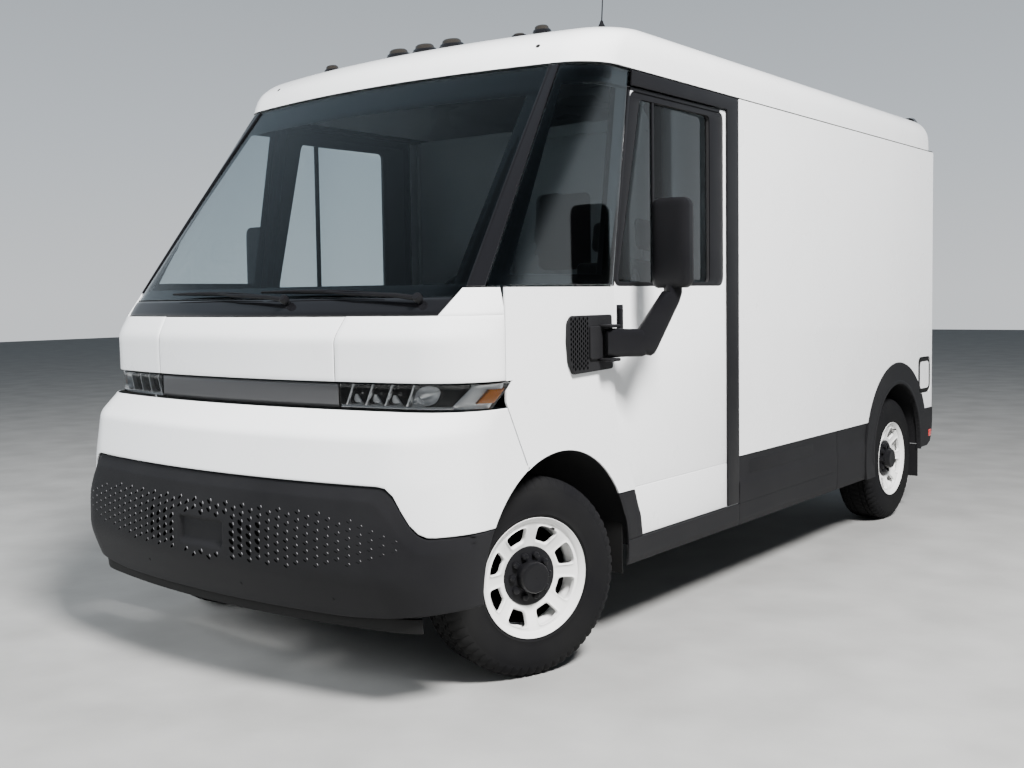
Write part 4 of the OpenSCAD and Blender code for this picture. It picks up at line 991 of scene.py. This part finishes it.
def bumper_pattern():
    """Staggered rows of moulded dimples that fade outward, open on both sides of the plate recess. The
    holes and the dimples' hollows are flat black leaves of painted shade, and the raised lighter sliver
    beside each is a painted highlight.
    """
    dark, bright = [], []
    pitch, row = 0.094, 0.0156
    for i in range(-11, 12):
        for j in range(-8, 8):
            z = 0.612 + j * row
            u = (i + 0.5 * (j % 2)) * pitch
            g = abs(u)
            if g > 0.98 or abs(z - 0.612 - 0.02 * g) > 0.112 * (1 - (g / 1.02) ** 4):
                continue
            if g < PLATE_HALF + 0.030 and PLATE_Z[0] - 0.016 < z < PLATE_Z[1] + 0.012:
                continue
            fade = (1 - g / 1.05) ** 0.8
            is_open = g < 0.36 and abs(z - 0.600) < 0.060
            size = 1.0 if is_open else 0.78 * fade
            lean = math.copysign(0.007, -u)
            # Flat black leaf over the dimple or hole: painted shade in its hollow.
            dark.append(leaf(z, u, 0.0110 * size, 0.0115 * size, lean, -0.0003 if is_open else -0.0002))
            # A raised sliver in light grey beside each dimple: painted highlight.
            bright.append(raised_leaf(z + 0.0085, u + 0.0125, 0.0024 * (0.4 + fade), 0.0050 * (0.4 + fade),
                                      -0.003, 0.0022))
    show("bumper_hole_and_dimple_shade", merge(dark), SHADE_BLACK, smooth=False)
    show("bumper_dimple_highlights", merge(bright), HIGHLIGHT_GREY, 60)
    screws = [raised_leaf(z, x, 0.007, 0.007, 0, 0.002, 12)
              for z, x in ((0.430, -0.40), (0.415, 0.20), (0.412, 0.66))]
    show("bumper_screws", merge(screws), SEAL, 60)
    lip = skin_panel(BUMPER, *span(lambda z: bumper_end(z) * 0.80), 0.300, 0.350, 0.018, 0.030, 60, 4,
                     0.005)
    show("chin_strip", lip, SEAL, 50)


# ---- Mirrors ----
def loft(sections, power=3.0, n=28):
    """Closed form through sections (centre, axis a, axis b): superellipse rings."""
    verts = []
    for centre, a, b in sections:
        centre, a, b = Vector(centre), Vector(a), Vector(b)
        verts += [centre + a * c + b * s for c, s in squircle(n, power)]
    return verts, bands(len(sections) - 1, n) + end_caps(len(sections), n)


# The middle of the arm's hinge and of the mirror head, on the left side
MIRROR_PIVOT = Vector((HALF_W + 0.052, -1.560, 1.310))
HEAD = Vector((1.306, -1.305, 1.718))


def mirrors():
    p = MIRROR_PIVOT
    outline = rounded([(-1.805, 1.400), (-1.780, 1.425), (-1.490, 1.425), (-1.484, 1.200), (-1.770, 1.190),
                       (-1.800, 1.240), (-1.810, 1.320)], 0.012)
    base = [side_plate([outline], HALF_W + 0.0005, HALF_W + 0.016, 0.004)]
    boss = rounded(rect(-1.665, -1.502, 1.245, 1.380), 0.012)
    base.append(side_plate([boss], HALF_W + 0.014, HALF_W + 0.026, 0.004))
    for z in (p.z - 0.076, p.z + 0.062):
        base.append(rounded_box((HALF_W + 0.015, p.y - 0.034, z), (p.x + 0.030, p.y + 0.034, z + 0.014),
                                0.006))
    # Black diamonds on the base stand in for the shade inside its perforations: painted shade.
    cells = []
    step = 0.020
    for i in range(9):
        for j in range(11):
            y, z = -1.790 + i * step * 0.72, 1.212 + j * step + (i % 2) * step / 2
            if y > -1.668 or z > 1.412 or (z < 1.235 and y < -1.78):
                continue
            ring = [(HALF_W + 0.0165, y + 0.0064 * c, z + 0.0092 * s)
                    for c, s in ((1, 0), (0, 1), (-1, 0), (0, -1))]
            cells.append((ring, [(0, 1, 2, 3)]))
    show("mirror_bases", both(merge(base)), CLADDING, 40, "mirror_brackets")
    show("mirror_base_hole_shade", both(merge(cells)), SHADE_BLACK, smooth=False)
    bend = Vector((p.x + 0.086, p.y + 0.128, p.z - 0.004))
    top = Vector((HEAD.x - 0.002, HEAD.y, 1.512))
    along = (bend - p).normalized()
    sideways = Vector((along.y, -along.x, 0))
    for name, side in SIDES:
        arm = [(p + along * d, sideways * w, Vector((0, 0, h)))
               for d, w, h in ((-0.026, 0.006, 0.040), (-0.020, 0.022, 0.056), (0.0, 0.027, 0.060),
                               (0.03, 0.027, 0.060), (0.06, 0.026, 0.058), (0.135, 0.027, 0.057),
                               (0.150, 0.026, 0.052), (0.158, 0.018, 0.040))]
        up = (top - bend).normalized()
        flat_way = up.cross(sideways).normalized()
        post = [(mix(bend, top, s), sideways * mix(0.029, 0.036, s) * k,
                 flat_way * mix(0.060, 0.040, s) * k)
                for s, k in ((-0.16, 0.5), (-0.13, 0.8), (-0.06, 0.97), (0.05, 1), (0.4, 1), (0.7, 1),
                             (0.92, 1))]
        post += [(top + Vector((0, 0, dz)), sideways * 0.035, along * 0.037) for dz in (0.0, 0.040)]
        lower = [(-0.187, 0.72, 0.70), (-0.182, 0.84, 0.82), (-0.170, 0.95, 0.93), (-0.150, 1, 1)]
        sizes = lower + [(0.0, 1.0, 1.03)] + [(-dz, kx, ky) for dz, kx, ky in reversed(lower)]
        head = [(HEAD + Vector((0, -0.006, dz)), Vector((0.089 * kx, 0, 0)), Vector((0, 0.035 * ky, 0)))
                for dz, kx, ky in sizes]
        shape = merge([loft(arm, 4), loft(post, 2.6), loft(head, 4.5, 40)])
        body = name + "_mirror"
        show(name + "_mirror_body", sided(shape, side), SATIN, 45, body, body=body)
        rim = plate([rounded(rect(-0.082, 0.082, -0.176, 0.176), 0.03),
                     rounded(rect(-0.071, 0.071, -0.165, 0.165), 0.026)],
                    0.018, 0.030, 0.003, lambda a, b, t: (HEAD.x + a, HEAD.y + t, HEAD.z + b))
        show(name + "_mirror_rim", sided(rim, side), SATIN, 45, body=body)


# ---- Roof fittings and wipers ----
def puck(x, y, z, r, h):
    profile = [(-0.010, r * 1.02), (0.004, r * 1.02), (0.007, r * 0.97), (h * 0.35, r * 0.93),
               (h * 0.40, r * 0.88), (h * 0.42, r * 0.80)]
    lens = [(h * 0.40, r * 0.80), (h * 0.75, r * 0.72), (h * 0.93, r * 0.55), (h, r * 0.3), (h, 0.0005)]
    tilt = Matrix.Translation((x, y, z)) @ Matrix.Rotation(math.radians(8), 4, "X")
    tilt = tilt @ Matrix.Rotation(math.radians(-90), 4, "Y")
    return lathe(profile, 40, lambda v: tilt @ v), lathe(lens, 40, lambda v: tilt @ v)


def roof_fittings():
    spots = [(x, -1.370, 0.2095, 0.060, 0.040) for x in (-0.170, 0.0, 0.170)]
    spots += [(x, -1.338, 0.208, 0.042, 0.034) for x in (-0.668, 0.668)]
    spots.append((0.540, -1.338, 0.209, 0.034, 0.016))
    made = [puck(x, y, SEAM_Z + z, r, h) for x, y, z, r, h in spots]
    profile = [(0.002, 0.086), (-0.003, 0.121), (-0.023, 0.173), (-0.061, 0.210), (-0.147, 0.232),
               (-0.100, 0.240), (-0.065, 0.233), (-0.030, 0.222), (-0.006, 0.202), (0.014, 0.178),
               (0.024, 0.148), (0.030, 0.118), (0.026, 0.086)]
    n = len(profile)
    ends = [(-1.010, 0.6), (-1.004, 0.9), (-0.990, 1.0), (0.990, 1.0), (1.004, 0.9), (1.010, 0.6)]
    middle = (sum(p[0] for p in profile) / n, sum(p[1] for p in profile) / n)
    verts = [(x, REAR_Y + mix(middle[0], a, k), SEAM_Z + mix(middle[1], b, k))
             for x, k in ends for a, b in profile]
    show("lamp_bases", merge([m[0] for m in made] + [(verts, swept(len(ends), n))]), GLOSS,
         40, "roof_lamps")
    show("lamp_domes", merge([m[1] for m in made]), SMOKED, 50)
    plugs = []
    for x, y, z, way in ((-0.808, -1.579, 2.565, (-0.13, -0.69, 0.71)),
                         (0.828, -1.588, 2.551, (0.15, -0.78, 0.61))):
        facing = Matrix.Translation((x, y, z)) @ Vector(way).to_track_quat("X", "Z").to_matrix().to_4x4()
        plugs.append(lathe([(-0.002, 0.010), (0.0006, 0.010), (0.001, 0.008), (0.001, 0.0005)], 20,
                           lambda v, m=facing: m @ v))
    show("roof_plugs", merge(plugs), SEAL)
    stop = rounded_box((-0.150, REAR_Y + 0.022, SEAM_Z + 0.112), (0.150, REAR_Y + 0.034, SEAM_Z + 0.140),
                       0.003)
    show("high_stop_lamp", stop, RED)
    ax, ay, az = 0.880, -1.180, SEAM_Z + 0.214
    foot = lathe([(0.0, 0.022), (0.010, 0.021), (0.020, 0.014), (0.030, 0.009), (0.040, 0.006),
                  (0.046, 0.0005)], 24, lambda v: (ax + v.y, ay + v.z, az + v.x))
    rod = tube([(ax, ay, az + 0.03), (ax, ay + 0.01, az + 0.15), (ax, ay + 0.03, az + 0.268)],
               [0.0030, 0.0024, 0.0018], 8)
    show("antenna_mast", merge([foot, rod]), SATIN, 50, "antenna")


def wiper_frame(x):
    """Places a point of a wiper at rest: a along the arm, b up the glass, c away from the glass."""
    turn, tilt = math.atan(2 * BOW * x), math.radians(4.29)
    slope = (1.052 - 0.242) / (2.479 - 1.440)
    inward = Vector((-math.cos(turn), -math.sin(turn), 0))
    outward = Vector((math.sin(turn), -math.cos(turn), slope * math.cos(turn))).normalized()
    upward = inward.cross(outward)
    along = inward * math.cos(tilt) - outward * math.sin(tilt)
    axis = outward * math.cos(tilt) + inward * math.sin(tilt)
    origin = SCREEN_SKIN.at(1.490, x)
    return lambda a, b, c: origin + along * a + upward * b + axis * c


def wipers():
    for name, x in (("left", 0.860), ("right", 0.226)):
        at = wiper_frame(x)
        cap = lathe([(0.003, 0.013), (0.012, 0.014), (0.016, 0.018), (0.034, 0.018), (0.039, 0.014),
                     (0.040, 0.0005)], 24, lambda v: at(v.y, v.z, v.x))
        arm = tube([at(-0.016, 0.0, 0.023), at(0.03, 0.003, 0.026), at(0.10, 0.012, 0.034),
                    at(0.33, 0.034, 0.036), at(0.48, 0.063, 0.027)], [0.010, 0.010, 0.009, 0.007, 0.004],
                    12)
        bow = tube([at(0.19, 0.039, 0.021), at(0.34, 0.053, 0.026), at(0.48, 0.063, 0.028),
                    at(0.64, 0.076, 0.026), at(0.79, 0.088, 0.021)], [0.003, 0.006, 0.0075, 0.006, 0.003],
                    12)
        edge = tube([at(0.18, 0.038, 0.0175), at(0.48, 0.063, 0.0175), at(0.80, 0.089, 0.0175)], 0.004, 8)
        show(name + "_wiper_arm", merge([cap, arm, bow]), SATIN, 40, name + "_wiper",
             body=name + "_wiper")
        show(name + "_wiper_rubber", edge, SEAL, body=name + "_wiper")


# ---- Seats ----
SEAT_X = 0.480
VOXEL, PRESSURE, FILL_FRAMES = 0.008, 4.0, 20


def swell(part, name, mat, body, cap, place=Matrix.Identity(4)):
    """Fills a form like a cushion with a short cloth simulation, then keeps the result.
    No point moves further than the cap."""
    o = add(name, as_mesh(name, part))
    grid = o.modifiers.new("grid", "REMESH")
    grid.mode, grid.voxel_size = "VOXEL", VOXEL
    start = [v.co.copy() for v in evaluated(o).vertices]
    cloth = o.modifiers.new("fill", "CLOTH")
    cloth.settings.use_pressure = True
    cloth.settings.uniform_pressure_force = PRESSURE
    cloth.settings.effector_weights.gravity = 0
    cloth.point_cache.frame_end = FILL_FRAMES
    for f in range(1, FILL_FRAMES + 1):
        bpy.context.scene.frame_set(f)
    done = evaluated(o)
    for v, a in zip(done.vertices, start):
        move = v.co - a
        if move.length > cap:
            v.co = a + move * (cap / move.length)
    bpy.context.scene.frame_set(1)
    bpy.data.objects.remove(o)
    for v in done.vertices:
        v.co = place @ v.co
    return show_mesh(name, done, mat, 60, body)


def seats():
    x = SEAT_X
    deck = rounded_box((x - 0.222, -1.118, 0.928), (x + 0.222, -0.652, 1.044), 0.045, 5)
    bolsters = pair(lambda s: rounded_box((x + s * 0.185 - 0.042, -1.110, 0.935),
                                          (x + s * 0.185 + 0.042, -0.660, 1.058), 0.035, 4))
    seat = swell(merge([deck, bolsters]), "seat_cushion", CLOTH, "driver_seat", 0.010)
    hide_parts("driver_seat")
    tray = [rounded_box((x - 0.228, -1.122, 0.9075), (x + 0.228, -0.646, 0.934), 0.010),
            pair(lambda s: rounded_box((x + s * 0.245 - 0.007, -0.720, 0.950),
                                       (x + s * 0.245 + 0.007, -0.590, 1.090), 0.005)),
            pair(lambda s: rounded_box((x + s * 0.236 - 0.012, -0.720, 0.950),
                                       (x + s * 0.236 + 0.004, -0.660, 1.010), 0.004))]
    show("seat_tray", merge(tray), CAB, body="driver_seat")
    lean = Matrix.Translation((x, -0.610, 1.065)) @ Matrix.Rotation(math.radians(-10), 4, "X")
    back = rounded_box((-0.213, -0.030, 0.026), (0.213, 0.044, 0.628), 0.035, 5)
    wings = pair(lambda s: rounded_box((s * 0.178 - 0.036, -0.047, 0.060),
                                       (s * 0.178 + 0.036, 0.030, 0.560), 0.032, 4))
    rest = swell(merge([back, wings]), "seat_back_cushion", CLOTH, "seat_back", 0.008,
                 place=lean)
    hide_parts("seat_back")
    pad = rounded_box((-0.122, -0.037, 0.672), (0.122, 0.037, 0.832), 0.034, 5)
    head = swell(pad, "head_rest", CLOTH, "seat_back", 0.008, place=lean)
    posts = pair(lambda s: tube([lean @ Vector((s * 0.06, 0, z)) for z in (0.60, 0.70)], 0.006))
    show("head_rest_posts", posts, STEEL, body="seat_back")
    welt_y = [-1.10 + 0.05 * k for k in range(10)]
    welts = pair(lambda s: tube([(x + s * 0.142, y, 1.052 - 0.02 * abs((y + 0.88) / 0.25) ** 4)
                                 for y in welt_y], 0.0025, 8))
    show("seat_welts", welts, SEAL, 60, body="driver_seat")


def cab_details():
    screen = rounded_box((-0.078, -1.7795, 1.305), (0.218, -1.7775, 1.518), 0.0008)
    show("centre_screen", screen, SCREEN)
    cluster = rounded_box((0.310, -1.8495, 1.418), (0.650, -1.8470, 1.530), 0.001)
    show("instrument_glass", cluster, SCREEN)
    vents = []
    for x0 in (-0.86, -0.50, 0.78):
        vents.append(rounded_box((x0, -1.806, 1.345), (x0 + 0.14, -1.796, 1.395), 0.004))
        vents += [rounded_box((x0 + 0.008, -1.798, 1.352 + k * 0.010),
                              (x0 + 0.132, -1.7925, 1.3545 + k * 0.010), 0.001) for k in range(4)]
    show("dash_vents", merge(vents), SATIN)
    stalk = ((0.03, -1.640, 1.385), (0.11, -1.650, 1.392), (0.17, -1.655, 1.400))
    stalks = pair(lambda s: tube([(SEAT_X + s * d, y, z) for d, y, z in stalk], [0.007, 0.005, 0.008], 10))
    show("column_stalks", stalks, CAB)
    rail = tube([(0.29, -0.176, 1.41), (0.29, -0.168, 1.42), (0.29, -0.168, 1.57), (0.29, -0.176, 1.58)],
                0.008, 10)
    show("bulkhead_grip", rail, SATIN, body="bulkhead_door")
    seams = [rounded_box((HALF_W - 0.006, POCKET_Y, SEAM_Z - 0.004),
                         (HALF_W - 0.001, REAR_Y - 0.01, SEAM_Z + 0.004), 0.001)]
    show("roof_seam_seal", both(merge(seams)), SEAL)


def soften(names, width):
    """Rounds the edges of the CAD pieces that are shown as they are."""
    for n in names:
        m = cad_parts[n].modifiers.new("rounded_edges", "BEVEL")
        m.width, m.segments = width, 2
        m.limit_method, m.angle_limit = "ANGLE", math.radians(50)
        m.harden_normals = False


# ---- Camera, light and floor ----
def look():
    yaw, pitch, roll = math.radians(37.76), math.radians(-3.33), math.radians(-0.81)
    forward = Vector((-math.sin(yaw) * math.cos(pitch), math.cos(yaw) * math.cos(pitch), math.sin(pitch)))
    right = Vector((math.cos(yaw), math.sin(yaw), 0))
    up = right.cross(forward)
    r = right * math.cos(roll) + up * math.sin(roll)
    u = up * math.cos(roll) - right * math.sin(roll)
    cam = bpy.data.cameras.new("camera")
    cam.sensor_width, cam.lens = 36, 40.55
    cam.shift_y = -0.0199
    cam.clip_end = 200
    o = add("camera", cam)
    facing = Matrix((r, u, -forward)).transposed().to_4x4()
    o.matrix_world = Matrix.Translation((3.7285, -5.5412, 1.5048)) @ facing
    bpy.context.scene.camera = o


def soft_light(name, place, aim, size, power, color=(1, 1, 1)):
    light = bpy.data.lights.new(name, "AREA")
    light.shape = "RECTANGLE"
    light.size, light.size_y = size
    light.energy, light.color = power, color
    o = add(name, light)
    light.specular_factor = 0.0
    o.visible_glossy = False
    o.visible_transmission = False
    o.location = place
    o.rotation_mode = "QUATERNION"
    o.rotation_quaternion = (Vector(aim) - Vector(place)).to_track_quat("-Z", "Y")


def surroundings():
    world = bpy.data.worlds.new("studio")
    bpy.context.scene.world = world
    world.use_nodes = True
    new, link = world.node_tree.nodes.new, world.node_tree.links.new
    back = world.node_tree.nodes["Background"]
    at = new("ShaderNodeTexCoord")
    split = new("ShaderNodeSeparateXYZ")
    ramp = new("ShaderNodeValToRGB")
    link(at.outputs["Generated"], split.inputs["Vector"])
    link(split.outputs["Z"], ramp.inputs["Fac"])
    horizon, zenith = ramp.color_ramp.elements
    horizon.position, horizon.color = 0.0, (0.80, 0.83, 0.86, 1)
    zenith.position, zenith.color = 0.50, (0.20, 0.24, 0.28, 1)
    ramp.color_ramp.elements.new(0.14).color = (0.62, 0.67, 0.72, 1)
    link(ramp.outputs["Color"], back.inputs["Color"])
    facing = new("ShaderNodeVectorMath")
    facing.operation = "DOT_PRODUCT"
    facing.inputs[1].default_value = (0.6, -0.8, 0)
    link(at.outputs["Generated"], facing.inputs[0])
    dim = new("ShaderNodeMapRange")
    dim.inputs["From Min"].default_value, dim.inputs["From Max"].default_value = -0.35, 0.45
    dim.inputs["To Min"].default_value, dim.inputs["To Max"].default_value = 1.0, 0.30
    link(facing.outputs["Value"], dim.inputs["Value"])
    link(dim.outputs["Result"], back.inputs["Strength"])
    floor = grain(shader("floor", (0.27, 0.27, 0.265), 0.85), 60, 0.1, 4, (0.8, 0.9),
                  ((0.24, 0.24, 0.235), (0.30, 0.30, 0.295)))
    s = 40
    me = as_mesh("ground", ([(-s, -s, 0), (s, -s, 0), (s, s, 0), (-s, s, 0)], [(0, 1, 2, 3)]))
    me.materials.append(floor)
    add("ground", me)
    soft_light("sun_side", (7, -4, 9), (0, -0.5, 1), (2.5, 2.5), 4900, (1, 0.985, 0.97))
    soft_light("front_fill", (-5, -9, 5), (0, -1, 1.2), (6, 4), 1420, (0.95, 0.98, 1))


def dress_frame():
    """Materials for the CAD pieces, which show where nothing replaces them."""
    looks = ((FRAME, "chassis_frame front_subframe rear_axle seat_base"), (ALLOY, "battery_pack"),
             (FLOOR_GREY, "floor_pan"), (SHADED_LINER, "cargo_liners bulkhead_door"),
             (DARK_GLASS, "left_door_glass right_door_glass"),
             # The liner's grey is painted shade on white panels.
             (CLADDING, "wheelhouses mirror_brackets charge_socket rear_bumper rocker_trims "
                        "rear_arch_flares"),
             (WHITE, "side_panels fenders charge_door rear_frame"),
             (WHITE, "left_cab_door right_cab_door left_rear_door right_rear_door"),
             (SATIN, "cab_frame antenna left_wiper right_wiper left_mirror right_mirror"),
             (CAB, "dashboard steering_wheel"), (CLOTH, "driver_seat seat_back"),
             (RED, "tail_lamps"), (SMOKED, "roof_lamps"),
             (STEEL, "brake_pedal accelerator_pedal left_knuckle right_knuckle"),
             (MIRROR, "left_mirror_glass right_mirror_glass"))
    chosen = {name: mat for mat, names in looks for name in names.split()}
    for name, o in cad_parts.items():
        mat = TYRE if name.endswith("_tyre") else chosen.get(name, RIM if name.endswith("_wheel") else None)
        for place in o.material_slots if mat else ():
            place.material = mat


look()
surroundings()
dress_frame()
nose()
headlights()
glazing()
roof()
cab_structure()
cab_doors()
wheels()
cladding()
bumper_pattern()
mirrors()
roof_fittings()
wipers()
seats()
cab_details()
soften(["side_panels", "fenders", "rear_arch_flares", "rear_frame", "tail_lamps", "charge_door"], 0.002)
soften(["left_rear_door", "right_rear_door", "rear_bumper", "dashboard", "seat_base", "bulkhead_door",
        "chassis_frame", "battery_pack", "front_subframe"], 0.004)
